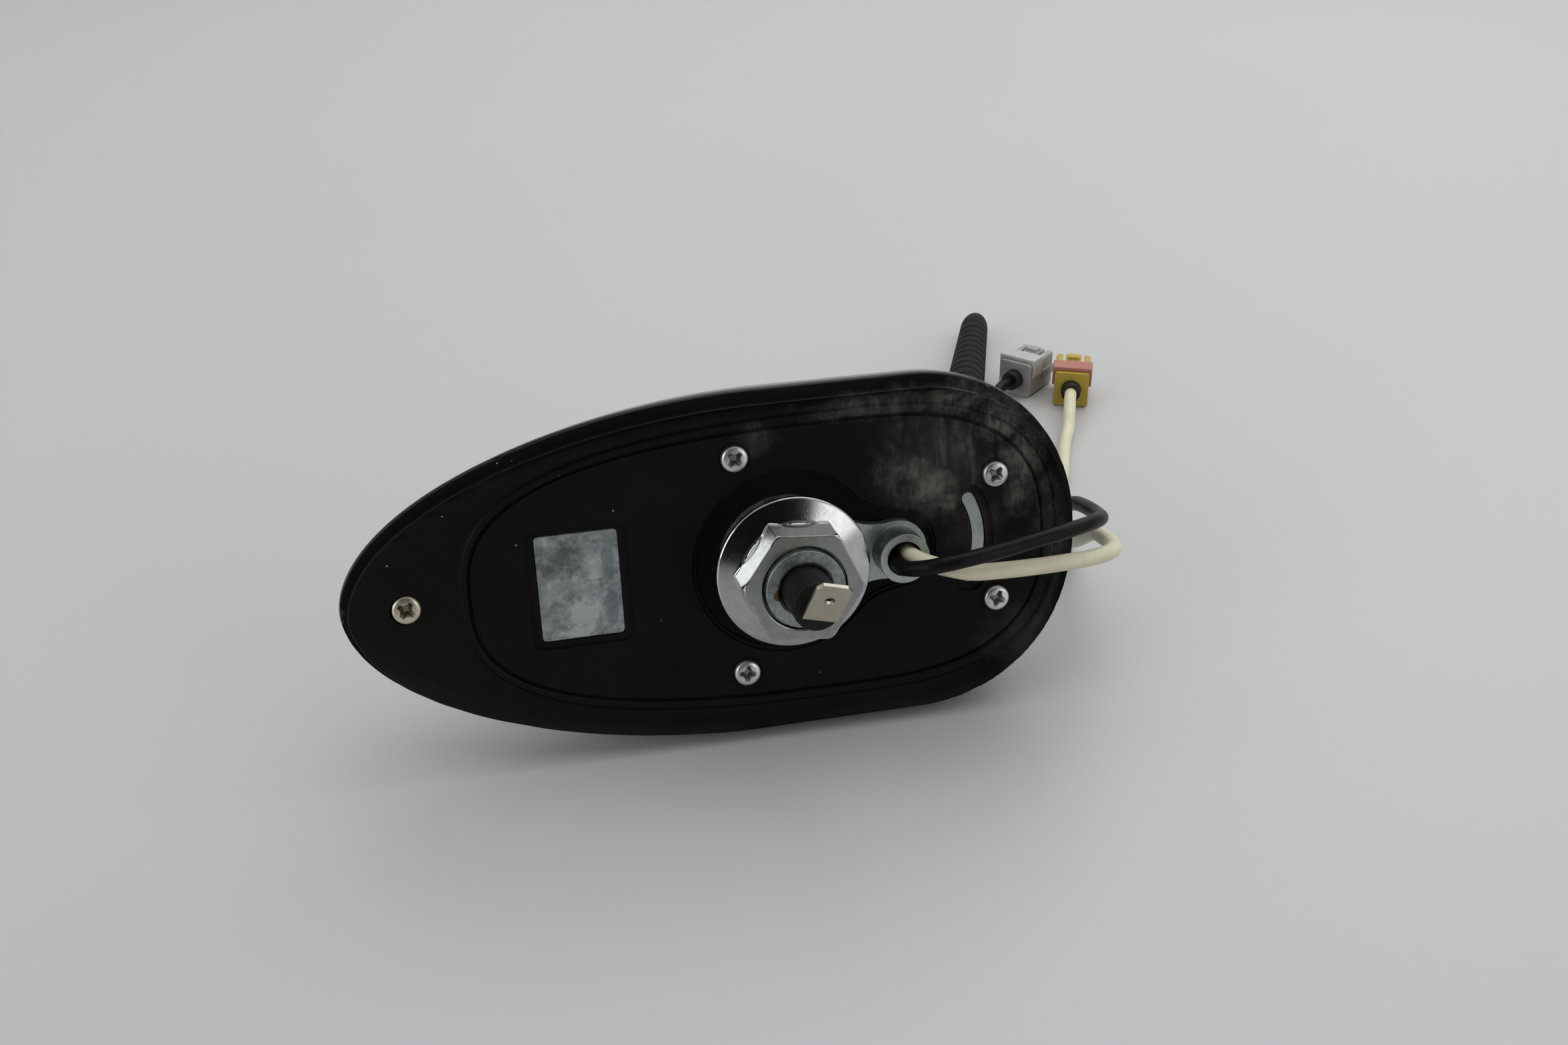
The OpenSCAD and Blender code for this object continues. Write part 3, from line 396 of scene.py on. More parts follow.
class Finish(Graph):
    """One material: a Principled shader fed by masks and grain in the piece's own coordinates."""

    def __init__(self, name, **constants):
        self.material = bpy.data.materials.new(name)
        self.material.use_nodes = True
        super().__init__(self.material.node_tree)
        self.tree.nodes.clear()
        self.shader = self.node("ShaderNodeBsdfPrincipled")
        self.output = self.node("ShaderNodeOutputMaterial", {"Surface": self.shader.outputs[0]})
        self.place = self.node("ShaderNodeTexCoord").outputs["Object"]
        for key, value in constants.items():
            self.set(key, value)

    def set(self, key, value):
        names = {"colour": "Base Color", "specular": "Specular IOR Level"}
        label = names.get(key.lower(), key.replace("_", " ").title())
        self.feed(self.shader.inputs[label], value)
        if label == "Base Color" and not isinstance(value, bpy.types.NodeSocket):
            self.material.diffuse_color = tuple(value)

    def coloured(self, mask, a, b, amount=1.0):
        self.set("colour", self.blend(mask, a, b, amount))

    def rough(self, base, mask, amount):
        self.set("roughness", self.raised(base, mask, amount))

    def grain(self, height, depth):
        inputs = {"Height": height, "Distance": depth}
        self.feed(self.shader.inputs["Normal"], self.node("ShaderNodeBump", inputs).outputs[0])

    def on_place(self, build, **inputs):
        return self.group(shader_group(build), place=self.place, **inputs)

    def moulded(self, size, depth, broad=0.4):
        self.grain(self.on_place(grain_group, size=size, broad=broad), depth)

    def mottle(self, size, cover, softness):
        return self.on_place(mottle_group, size=size, cover=cover, softness=softness)

    def specks(self, spacing, amount, radius):
        return self.on_place(specks_group, spacing=spacing, share=amount, radius=radius)

    def rub_marks(self, rows):
        """Streaky patches from rows of centre and reach in millimetres, streak scale and cover; on the gasket
        they paint marks of rubbing and a sheen of reflected light.
        """
        return self.most([
            self.on_place(
                streaky_patch_group, centre=in_metres(centre), reach=in_metres(reach), streak=streak, cover=cover
            )
            for centre, reach, streak, cover in rows
        ])

    def blotches(self, *rows):
        """Blotches from rows of centre and reach in millimetres, warp and softness."""
        return self.most([
            self.on_place(
                patch_group, centre=in_metres(centre), reach=in_metres(reach), warp=warp, softness=softness
            )
            for centre, reach, warp, softness in rows
        ])

    def near(self, x, y, radius):
        """Mask of a round patch about a vertical line."""
        flat = self.scaled(self.place, (1.0, 1.0, 0.0))
        return self.step(self.vector("DISTANCE", flat, (x, y, 0.0)), radius, radius * 0.6)


def in_metres(values):
    return [value * MM for value in values]


def toned(colour, factor):
    return tuple(channel * factor for channel in colour[:3]) + (1.0,)


def worn_finish(name, colour, worn, marks, amount, roughness, spread, grain, **constants):
    """Plain material whose mottled marks tone its colour and its roughness."""
    made = Finish(name, **constants)
    mask = made.mottle(*marks)
    made.coloured(mask, colour, worn, amount)
    made.rough(roughness, mask, spread)
    made.moulded(*grain)
    return made.material


# Meshes


class Skin:
    """Collects rings of points and the faces between them."""

    def __init__(self):
        self.points = []
        self.faces = []

    def ring(self, points):
        start = len(self.points)
        self.points.extend(tuple(map(float, p)) for p in points)
        return list(range(start, len(self.points)))

    def strip(self, lower, upper):
        count = len(lower)
        for i in range(count):
            right = (i + 1) % count
            self.faces.append((lower[i], lower[right], upper[right], upper[i]))

    def rows(self, rows):
        rings = [self.ring(row) for row in rows]
        for lower, upper in zip(rings, rings[1:]):
            self.strip(lower, upper)
        return rings

    def cap(self, ring):
        self.faces.append(tuple(ring))

    def flat(self, outer, holes):
        """Fills the level region between one ring and the holes in it."""
        loops = [outer] + list(holes)
        order = [index for loop in loops for index in loop]
        lines = [[Vector(self.points[index]) for index in loop] for loop in loops]
        for triangle in geometry.tessellate_polygon(lines):
            self.faces.append(tuple(order[corner] for corner in triangle))

    def made(self, name):
        piece = linked(name, plain_mesh(name, self.points, self.faces))
        tidy(piece)
        return piece


def capped(name, rows):
    """Closed solid over rings of points, with its two ends filled."""
    skin = Skin()
    rings = skin.rows(rows)
    skin.cap(rings[0][::-1])
    skin.cap(rings[-1])
    return skin.made(name)


def plain_mesh(name, points, faces=()):
    mesh = bpy.data.meshes.new(name)
    mesh.from_pydata(points, [], faces)
    return mesh


def linked(name, data):
    """New object with this data, in the scene."""
    piece = bpy.data.objects.new(name, data)
    bpy.context.scene.collection.objects.link(piece)
    return piece


def tidy(piece, merge=1e-7):
    """Merges doubles and turns every face outwards."""
    shape = bmesh.new()
    shape.from_mesh(piece.data)
    bmesh.ops.remove_doubles(shape, verts=shape.verts, dist=merge)
    bmesh.ops.dissolve_degenerate(shape, edges=shape.edges, dist=merge)
    bmesh.ops.recalc_face_normals(shape, faces=shape.faces)
    shape.to_mesh(piece.data)
    shape.free()


def shaded(piece, angle=32):
    piece.data.shade_smooth()
    piece.data.set_sharp_from_angle(angle=math.radians(angle))


def shown_mesh(piece):
    return bpy.data.meshes.new_from_object(piece.evaluated_get(bpy.context.evaluated_depsgraph_get()))


def applied(piece):
    """Makes what the modifiers show the piece's own mesh."""
    mesh = shown_mesh(piece)
    piece.modifiers.clear()
    old = piece.data
    piece.data = mesh
    bpy.data.meshes.remove(old)


def cut(piece, other, operation="DIFFERENCE"):
    """Boolean of a piece with another, which is used up."""
    change = piece.modifiers.new("cut", "BOOLEAN")
    change.operation, change.solver, change.object = operation, "EXACT", other
    applied(piece)
    bpy.data.objects.remove(other)


def softened(node, name, width, segments=2):
    """Copy of a CAD node with its sharp edges rounded."""
    piece = linked(name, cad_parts[node].data.copy())
    piece.data.materials.clear()
    shape = bmesh.new()
    shape.from_mesh(piece.data)
    bmesh.ops.remove_doubles(shape, verts=shape.verts, dist=2e-6)
    bmesh.ops.dissolve_limit(shape, angle_limit=math.radians(0.6), verts=shape.verts, edges=shape.edges)
    shape.to_mesh(piece.data)
    shape.free()
    if piece.data.has_custom_normals:
        piece.data.attributes.remove(piece.data.attributes["custom_normal"])
    edges = piece.modifiers.new("edges", "BEVEL")
    edges.width, edges.segments = width, segments
    edges.limit_method, edges.angle_limit = "ANGLE", math.radians(30)
    edges.use_clamp_overlap = edges.loop_slide = False
    piece.modifiers.new("even", "WEIGHTED_NORMAL").keep_sharp = True
    shaded(piece, 60)
    applied(piece)
    return piece


def coat(data, material):
    data.materials.clear()
    data.materials.append(material)


def dress(piece, material, node):
    """Gives a piece its finish and its body, and hides the CAD node that it stands for."""
    coat(piece.data, material)
    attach(piece, "root")
    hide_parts(node)


# Outlines

AROUND = 360
HALF_FRONT_X, HALF_REAR_X, TOP_X = 5 * MM, -23.5 * MM, -32 * MM
NOSE_POWER, TAIL_POWER = 1.9, 2.1
FIELD_MID_X = -14 * MM
FIELD_FRONT_POWER, FIELD_REAR_POWER = 2.8, 2.6
PLATE_INSET = 5 * MM
FIELD_T = 1.6 * MM
SPIGOT_X = 20.4 * MM
WINDOW_X, WINDOW_L, WINDOW_W = 37.3 * MM, 14.7 * MM, 19.7 * MM
RIB_R, RIB_W, RIB_HALF = 16.1 * MM, 2.4 * MM, math.radians(28)
FRONT_SCREW = (67.4 * MM, 0.0)
MIDDLE_SCREWS = [(8.5 * MM, 20.4 * MM), (8.5 * MM, -20.4 * MM)]
REAR_SCREWS = [(-39.5 * MM, 12.1 * MM), (-39.5 * MM, -12.1 * MM)]
PAD_GAP = 0.15 * MM
PLATE_TOP, PAD_BOTTOM = 3.8 * MM, 1.0 * MM
HOLE_ROUNDING = 0.12 * MM
SCREW_GAP = 0.04 * MM
FRONT_SHANK, OTHER_SHANK = 7 * MM, 12 * MM
FRONT_HOLE, OTHER_HOLE = 8.1 * MM, 14 * MM
BUSH_R, BORE_R = 7.4 * MM, 5 * MM
WINDOW_RIM_L, WINDOW_RIM_W, RIB_RIM = 3.4 * MM, 2.6 * MM, 3.2 * MM
STEP_DEPTH = 0.8 * MM
# The gasket's keyhole, from its rim up: radius round the stud, radius round the spigot and waist
KEYHOLE_RIM = (17.2 * MM, 7.6 * MM, 12 * MM)
KEYHOLE_STEP = (16.5 * MM, 7 * MM, 12.6 * MM)
KEYHOLE_NECK = (12.55 * MM, 5.75 * MM, 11.85 * MM)


def signed_power(values, power):
    return np.sign(values) * np.abs(values) ** power


def egg(nose, tail, half, front_x, rear_x, front_power, rear_power, count=AROUND):
    angle = np.arange(count) * 2 * np.pi / count
    ahead = np.cos(angle) > -1e-9
    power = np.where(ahead, 2 / front_power, 2 / rear_power)
    middle = np.where(ahead, front_x, rear_x)
    reach = np.where(ahead, nose - front_x, rear_x - tail)
    x = middle + reach * signed_power(np.cos(angle), power)
    return np.stack([x, half * signed_power(np.sin(angle), power)], axis=1)


def base_outline(inset, count=AROUND):
    s = settings().housing
    return egg(
        s.nose - inset, inset - s.tail, s.half_width - inset, HALF_FRONT_X, HALF_REAR_X,
        NOSE_POWER, TAIL_POWER, count,
    )


def outward(outline):
    run = np.roll(outline, -1, 0) - np.roll(outline, 1, 0)
    normal = np.stack([run[:, 1], -run[:, 0]], axis=1)
    return normal / np.linalg.norm(normal, axis=1, keepdims=True)


def at_height(outline, z):
    return np.column_stack([outline, np.broadcast_to(z, len(outline))])


def arc(centre, radius, start, end, steps):
    angle = np.linspace(start, end, steps)
    return np.stack([centre[0] + radius * np.cos(angle), centre[1] + radius * np.sin(angle)], axis=1)


def circle(centre, radius, steps=48):
    return arc(centre, radius, 0, 2 * np.pi, steps + 1)[:-1]


def round_rectangle(centre_x, length, width, radius):
    half_x, half_y = length / 2 - radius, width / 2 - radius
    corners = [
        arc((centre_x + sx * half_x, sy * half_y), radius, start, start + np.pi / 2, 7)
        for sx, sy, start in ((1, 1, 0), (-1, 1, np.pi / 2), (-1, -1, np.pi), (1, -1, 1.5 * np.pi))
    ]
    return np.concatenate(corners)


def keyhole(big, small, waist):
    """Two circles, about the stud and the spigot, joined by a waist with hollow round sides."""
    from_big, from_small = big + waist, small + waist
    along = (from_big**2 - from_small**2 + SPIGOT_X**2) / (2 * SPIGOT_X)
    aside = math.sqrt(from_big**2 - along**2)
    leave, reach = math.atan2(aside, -along), math.atan2(aside, SPIGOT_X - along)
    half = np.concatenate([
        arc((0, 0), big, 0, leave, 48)[:-1],
        arc((-along, aside), waist, leave + np.pi, reach + np.pi, 20)[:-1],
        arc((-SPIGOT_X, 0), small, reach, np.pi, 20),
    ])
    return np.concatenate([half, (half * (1, -1))[-2:0:-1]])


def rear_arc(width):
    """Arc-shaped bar about the spigot, with round ends."""
    centre = np.array([-SPIGOT_X, 0])
    low, high = np.pi - RIB_HALF, np.pi + RIB_HALF
    ends = [centre + RIB_R * np.array([np.cos(a), np.sin(a)]) for a in (high, low)]
    return np.concatenate([
        arc(centre, RIB_R + width / 2, low, high, 24)[:-1],
        arc(ends[0], width / 2, high, high + np.pi, 12)[:-1],
        arc(centre, RIB_R - width / 2, high, low, 24)[:-1],
        arc(ends[1], width / 2, low + np.pi, low + 2 * np.pi, 12)[:-1],
    ])


def filleted(rows, radii):
    """Rounds the bends of a profile whose rows are rings of equally many points."""
    rows = [np.asarray(row, float) for row in rows]
    made = [rows[0]]
    for before, bend, after, radius in zip(rows, rows[1:], rows[2:], radii):
        start, end = (
            bend + arm * np.minimum(radius / np.linalg.norm(arm, axis=1, keepdims=True), 0.45)
            for arm in (before - bend, after - bend)
        )
        for t in np.linspace(0, 1, 4):
            made.append((1 - t) ** 2 * start + 2 * t * (1 - t) * bend + t * t * end)
    made.append(rows[-1])
    return made


def stepped(*levels):
    """Pairs of outline and z down a stepped hole, from outlines and the z at which each ends."""
    pairs, top = [], 0
    for outline, end in levels:
        pairs += [(outline, top), (outline, end)]
        top = end
    return pairs


def hole_rows(pairs):
    """Rows down a hole from pairs of outline and z, with its edges rounded."""
    rows = [at_height(outline, z) for outline, z in pairs]
    return filleted(rows, [HOLE_ROUNDING] * len(rows))


def smooth_max(a, b, reach):
    return np.maximum(a, b) + np.maximum(reach - np.abs(a - b), 0) ** 2 / (4 * reach)


def smooth_min(a, b, reach):
    return -smooth_max(-a, -b, reach)


def turned(name, profile, steps=64):
    """Closed turned solid from pairs of radius and height, lowest first."""
    angle = np.arange(steps) * 2 * np.pi / steps
    unit_ring = np.stack([np.cos(angle), np.sin(angle)], axis=1)
    return capped(name, [at_height(r * unit_ring, z) for r, z in profile])


def pin(name, radius, low, high, matrix, steps=64):
    """Round bar placed by a matrix."""
    piece = turned(name, [(radius, low), (radius, high)], steps)
    piece.data.transform(matrix)
    return piece


# Housing

AXIS_DEPTH = 38.5 * MM


def inside_dome(points, wall):
    s = settings().housing
    height = s.height - wall
    rise = np.clip(points[..., 2] / height, 0, 1)
    shift = rise**2
    nose = TOP_X + (s.nose - wall - TOP_X) * (1 - rise**1.6) ** (1 / 1.6)
    tail = TOP_X - (s.tail - wall + TOP_X) * (1 - rise**2.2) ** (1 / 2.2)
    half = (s.half_width - wall) * (1 - rise**1.8) ** (1 / 1.8)
    front = HALF_FRONT_X + (TOP_X - HALF_FRONT_X) * shift
    rear = HALF_REAR_X + (TOP_X - HALF_REAR_X) * shift
    tiny = 1e-9
    past_front = np.clip(points[..., 0] - front, 0, None) / np.maximum(nose - front, tiny)
    past_rear = np.clip(rear - points[..., 0], 0, None) / np.maximum(rear - tail, tiny)
    across = np.abs(points[..., 1]) / np.maximum(half, tiny)
    in_front = past_front**NOSE_POWER + across**NOSE_POWER <= 1
    in_rear = past_rear**TAIL_POWER + across**TAIL_POWER <= 1
    return (points[..., 2] <= height) & in_front & in_rear


def dome_reach(centre, directions, wall):
    """Distance from a centre to the dome's surface along each direction."""
    low = np.zeros(directions.shape[:-1])
    high = np.full(directions.shape[:-1], 0.13)
    for _ in range(26):
        middle = (low + high) / 2
        inside = inside_dome(centre + directions * middle[..., None], wall)
        low = np.where(inside, middle, low)
        high = np.where(inside, high, middle)
    return low


def mast_axis():
    lean = settings().mast.lean
    return np.array([-math.sin(lean), 0.0, math.cos(lean)])


def mast_matrix():
    """Places a shape made about Z on the foot of the mast."""
    s = settings()
    return Matrix.Translation((-s.mast.foot_x, 0, s.housing.height)) @ Matrix.Rotation(-s.mast.lean, 4, "Y")


def housing_rows(wall, edge_z, turret, count):
    """Rows over the dome from round the mast down to the lower edge."""
    s = settings()
    axis = mast_axis()
    centre = np.array([-s.mast.foot_x, 0, s.housing.height]) - axis * AXIS_DEPTH
    rim = at_height(base_outline(wall, count), edge_z) - centre
    rim /= np.linalg.norm(rim, axis=1, keepdims=True)
    full = np.arccos(rim @ axis)
    side = rim - (rim @ axis)[:, None] * axis
    side /= np.linalg.norm(side, axis=1, keepdims=True)
    near = np.concatenate([
        np.linspace(math.atan(5 * MM / AXIS_DEPTH), math.radians(11.4), 5),
        np.radians(np.linspace(11.6, 14.6, 13)),
        np.radians(np.linspace(15.3, 46, 38)),
    ])
    share_out = np.linspace(0, 1, 40)[1:]
    angle = np.concatenate([
        np.repeat(near[:, None], count, 1),
        near[-1] + (full[None, :] - near[-1]) * share_out[:, None],
    ])
    directions = np.cos(angle)[..., None] * axis + np.sin(angle)[..., None] * side[None]
    reach = dome_reach(centre, directions, wall)
    if turret:
        flare = s.housing.turret_flare
        top = AXIS_DEPTH / np.maximum(np.cos(angle), 0.05)
        cone = (s.housing.turret_radius + flare * AXIS_DEPTH) / (np.sin(angle) + flare * np.cos(angle))
        cone = smooth_min(top, cone, 0.5 * MM)
        reach = smooth_max(reach, cone, s.housing.blend)
    rows = centre + directions * reach[..., None]
    rows[-1, :, :2] = base_outline(wall, count)
    rows[-1, :, 2] = edge_z
    return list(rows)


def screw_boss(place, radius):
    """Boss from the base plate up into the housing's wall."""
    rim = circle(place, radius, 32)
    heights = np.linspace(0, 36 * MM, 400)
    column = np.broadcast_to(heights, (len(rim), len(heights)))
    points = np.stack([*(np.repeat(rim[:, k, None], len(heights), 1) for k in (0, 1)), column], axis=-1)
    top = (inside_dome(points, 1.1 * MM) * column).max(axis=1)
    skin = Skin()
    rings = skin.rows([at_height(rim, PLATE_TOP), at_height(rim, top)])
    skin.cap(rings[0][::-1])
    centre = skin.ring([(place[0], place[1], top.mean())])[0]
    for i, index in enumerate(rings[1]):
        skin.faces.append((index, rings[1][(i + 1) % len(rim)], centre))
    return skin.made("boss")


class ANTENNA_OT_housing(bpy.types.Operator):
    """Moulded housing: one glossy shell blended into the turret under the mast"""

    bl_idname = "antenna.housing"
    bl_label = "Housing"

    def execute(self, context):
        s = settings().housing
        count = 288
        outer = housing_rows(0, s.edge + 0.5 * MM, True, count)
        inner = housing_rows(s.wall, s.edge + 0.35 * MM, False, count)
        foot = [
            at_height(base_outline(0.14 * MM, count), s.edge + 0.14 * MM),
            at_height(base_outline(0.45 * MM, count), s.edge),
            at_height(base_outline(s.wall - 0.3 * MM, count), s.edge),
        ]
        shell = capped("cover_shell", outer + foot + inner[::-1])
        for place in [FRONT_SCREW] + MIDDLE_SCREWS + REAR_SCREWS:
            cut(shell, screw_boss(place, s.boss_diameter / 2), "UNION")
        cut(shell, pin("bush", BUSH_R, -14 * MM, -1.6 * MM, mast_matrix(), 48), "UNION")
        cut(shell, pin("bore", BORE_R, -15 * MM, 2 * MM, mast_matrix()))
        shaft = settings().screws.shank / 2
        others = [(place, OTHER_HOLE) for place in MIDDLE_SCREWS + REAR_SCREWS]
        for place, deep in [(FRONT_SCREW, FRONT_HOLE)] + others:
            cut(shell, pin("hole", shaft, 0, deep, Matrix.Translation((*place, 0)), 32))
        tidy(shell)
        shaded(shell, 38)
        dress(shell, gloss_finish(s), "housing_cover")
        return {"FINISHED"}


def gloss_finish(s):
    """Glossy black with dust, wipe marks and hairline scratches."""
    made = Finish("cover_gloss", Specular=0.5, Coat_Roughness=0.06)
    dust = made.mottle(14 * MM, 0.35, 0.6)
    lint = made.specks(1.4 * MM, 0.16, 0.09)
    wipes = made.noise(made.scaled(made.place, (1.0, 3.5, 2.0)), 260.0, 6.0, 0.7, 0.4)
    film = made.math("MULTIPLY", dust, made.step(wipes, 0.35, 0.75))
    made.coloured(made.total(film, 0.07, lint, 0.5), s.colour, s.dust)
    made.rough(0.14, film, 0.2)
    made.moulded(1.6 * MM, 0.012 * MM, 1.2)
    return made.material


# Gasket


def gasket_border(s):
    """Rows from the field's edge round bead, border, lip and rim flange to the top of the gasket."""
    field = egg(
        s.field_nose, -s.field_tail, s.field_half, FIELD_MID_X, FIELD_MID_X,
        FIELD_FRONT_POWER, FIELD_REAR_POWER,
    )
    normal = outward(field)
    angle = np.arange(AROUND) * 2 * np.pi / AROUND
    bead_w = s.bead_rear + (s.bead_front - s.bead_rear) * (1 + np.cos(angle)) / 2
    nicks = ragged_edge(angle, s.ragged)
    short = s.lip_short * np.clip(np.sin(angle), 0, 1) ** 0.7
    lip = offset_outline(base_outline(s.lip_inset), -short - nicks * 0.6)
    neck = offset_outline(base_outline(s.lip_inset + 0.35 * MM), -short)
    edge = settings().housing.edge - 0.02 * MM

    def off(distance, widths, z):
        return at_height(field + normal * (distance + widths * bead_w)[:, None], z)

    def blend(share_out, z):
        start = field + normal * (1.1 * MM + bead_w)[:, None]
        return at_height(start + (lip - start) * share_out, z)

    zero = np.zeros(AROUND)
    drop = s.lip_drop - nicks
    tall = s.bead_height
    flange = 0.15 * MM + flange_tears(angle)
    steps = [
        (off(zero, 0, 0), 0.1), (off(zero, 0, 0.5 * MM), 0.1), (off(zero + 0.5 * MM, 0, 0.5 * MM), 0.1),
        (off(zero + 0.62 * MM, 0, -tall * 0.55), 0.12), (off(zero + 0.85 * MM, 0, -tall), 0.16),
        (off(zero + 0.7 * MM, 1, -tall), 0.16), (off(zero + 0.95 * MM, 1, -tall * 0.5), 0.12),
        (blend(0, 0), 0.25), (blend(0.35, -drop * 0.16), 0.8), (blend(0.7, -drop * 0.5), 0.8),
        (blend(0.92, -drop * 0.85), 0.4), (blend(0.985, -drop), 0.1),
        (at_height(lip, -drop + 0.25 * MM), 0.1), (at_height(lip, -s.lip_drop + 1 * MM), 0.2),
        (at_height(neck, -s.lip_drop + 1.5 * MM), 0.25), (at_height(neck, 0.06 * MM), 0.2),
        (at_height(offset_outline(base_outline(0), -flange), 0.06 * MM), 0.22),
        (at_height(offset_outline(base_outline(0), -flange), edge), 0.12),
        (at_height(base_outline(3.1 * MM), edge), 0.1),
        (at_height(base_outline(PLATE_INSET - 0.3 * MM), FIELD_T), 0.1),
    ]
    rows = [row for row, _ in steps]
    return filleted(rows, [radius * MM for _, radius in steps[1:-1]])


def offset_outline(outline, distance):
    return outline + outward(outline) * np.broadcast_to(distance, len(outline))[:, None]


# Nicks in the trimmed lip and tears in the rim flange: turn round the outline and
# width in degrees, and depth in millimetres
LIP_NICKS = [
    (46.8, 1.2, 0.5), (34.5, 0.8, 0.45), (27.2, 0.7, 0.35), (39.5, 0.5, 0.25),
    (116, 1.4, 0.7), (249.5, 1.6, 0.7),
]
FLANGE_TEARS = [(1.5, 1.6, 0.9), (358.2, 1.0, 0.5), (52.0, 0.8, 0.3), (117.5, 1.2, 0.4)]


def nicked(angle, nicks):
    """Depth of single nicks at each turn round the outline."""
    made = np.zeros(len(angle))
    for place, width, deep in nicks:
        away = np.abs((np.degrees(angle) - place + 180) % 360 - 180)
        made = np.maximum(made, deep * MM * np.clip(1 - (away / width) ** 2, 0, 1))
    return made


def rough_turn(angle, waves, seed):
    """Noise at each turn round the outline."""
    return np.array([noise.noise(Vector((waves * math.cos(a), waves * math.sin(a), seed))) for a in angle])


def ragged_edge(angle, depth):
    """Depth of the lip's ragged edge at each turn round the outline."""
    rough = rough_turn(angle, 30, 3.7) + 0.6 * rough_turn(angle, 90, 8.1)
    return np.maximum(depth * np.clip(rough, 0, 1.2), nicked(angle, LIP_NICKS))


def flange_tears(angle):
    """How far the rim flange is torn back at the nose and along the front."""
    return nicked(angle, FLANGE_TEARS) + 0.12 * MM * np.clip(rough_turn(angle, 12, 1.3), 0, 1)


class ANTENNA_OT_gasket(bpy.types.Operator):
    """Rubber gasket with its sealing bead, ragged lip, rim flange and stepped openings"""

    bl_idname = "antenna.gasket"
    bl_label = "Gasket"

    def execute(self, context):
        s = settings().gasket
        screws = settings().screws
        skin = Skin()
        border = skin.rows(gasket_border(s))
        gaps = 2 * PAD_GAP
        window_rim = round_rectangle(WINDOW_X, WINDOW_L + WINDOW_RIM_L, WINDOW_W + WINDOW_RIM_W, 1.8 * MM)
        window = round_rectangle(WINDOW_X, WINDOW_L + gaps, WINDOW_W + gaps, 0.9 * MM)
        holes = [
            stepped((keyhole(*KEYHOLE_RIM), STEP_DEPTH / 2), (keyhole(*KEYHOLE_STEP), STEP_DEPTH),
                    (keyhole(*KEYHOLE_NECK), FIELD_T)),
            stepped((window_rim, STEP_DEPTH), (window, FIELD_T)),
            stepped((rear_arc(RIB_W + RIB_RIM), STEP_DEPTH), (rear_arc(RIB_W + gaps), FIELD_T)),
        ]
        for place in MIDDLE_SCREWS + REAR_SCREWS:
            holes.append(stepped((circle(place, screws.head / 2 + SCREW_GAP), FIELD_T)))
        ends = []
        for steps in holes:
            outline = steps[0][0]
            rim = [(offset_outline(outline, 0.14 * MM), 0), (outline, 0.14 * MM)]
            rings = skin.rows(hole_rows(rim + steps[1:]))
            ends.append((rings[0], rings[-1]))
        skin.flat(border[0], [first for first, _ in ends])
        skin.flat(border[-1], [last for _, last in ends])
        gasket = skin.made("gasket_rubber")
        head = screws.front_head / 2 + SCREW_GAP
        cut(gasket, pin("front_hole", head, -5 * MM, 3 * MM, Matrix.Translation((*FRONT_SCREW, 0))))
        shaded(gasket, 34)
        dress(gasket, rubber_finish(s), "gasket")
        return {"FINISHED"}


# Marks of rubbing on the gasket, and a painted sheen of reflected light over the rear of the field, which the
# broad first row paints: place and reach in millimetres, streak scale and cover
RUB_MARKS_AND_SHEEN = [
    ((-28, 15, 0), (14, 15, 9), 420.0, 0.72),
    ((-27.8, 10.6, 0), (6, 5, 9), 1600.0, 1.1),
    ((-25, 14.5, 0), (5.5, 4, 9), 1400.0, 0.9),
    ((-31, 8, 0), (3, 2.5, 9), 1100.0, 1.0),
    ((-40, 22.5, -1), (8, 6, 9), 1400.0, 0.85),
    ((-33, 27, -1), (9, 4.5, 9), 1400.0, 0.8),
    ((-45, 13, -1), (6, 12, 9), 800.0, 0.85),
    ((-20, 27.5, -1), (20, 3.5, 9), 500.0, 0.8),
    ((-50, 0, -1), (5, 12, 9), 700.0, 0.6),
    ((-36, 3, 0), (8, 9, 9), 700.0, 0.5),
    ((-44, -20, -1), (10, 9, 9), 600.0, 0.4),
    ((4.9, 23.4, 0), (5, 4, 9), 700.0, 0.6),
]
# Single pale specks on the gasket, in millimetres
GASKET_SPECKS = [(69.6, 8.7), (30.4, 13.4), (47.6, 9.2), (59.5, 16.2), (49.3, 24.2)]


def rubber_finish(s):
    """Black rubber: pale marks of rubbing and a painted sheen of reflected light at the rear, lint and a fine
    moulded grain.
    """
    made = Finish("gasket_rubber", Specular=0.12)
    rub_sheen_mask = made.rub_marks(RUB_MARKS_AND_SHEEN)
    haze = made.mottle(22 * MM, 0.45, 0.7)
    # The pale colour over these marks paints the sheen of reflected light as well as the marks of rubbing.
    colour = made.blend(made.total(rub_sheen_mask, 0.8, haze, 0.03), s.colour, s.rubbed_and_sheen)
    singles = [made.near(x * MM, y * MM, 0.2 * MM) for x, y in GASKET_SPECKS]
    lint = made.most([made.specks(2.6 * MM, 0.05, 0.05)] + singles)
    made.coloured(lint, colour, s.speck, 0.6)
    lips = made.step(made.facing(), -0.99, -0.9)
    rough = made.raised(0.5, made.mottle(5 * MM, 0.5, 0.6), 0.12)
    made.rough(made.raised(rough, lips, -0.16), rub_sheen_mask, 0.1)
    made.moulded(0.28 * MM, 0.02 * MM, 0.8)
    return made.material


# Base plate and stud


class ANTENNA_OT_base(bpy.types.Operator):
    """Zinc base plate with its hollow stud, spigot, key, pad and rib"""

    bl_idname = "antenna.base"
    bl_label = "Base plate"

    def execute(self, context):
        plate = softened("base_plate", "base_casting", 0.12 * MM)
        dress(plate, zinc_finish(settings().fixing), "base_plate")
        return {"FINISHED"}


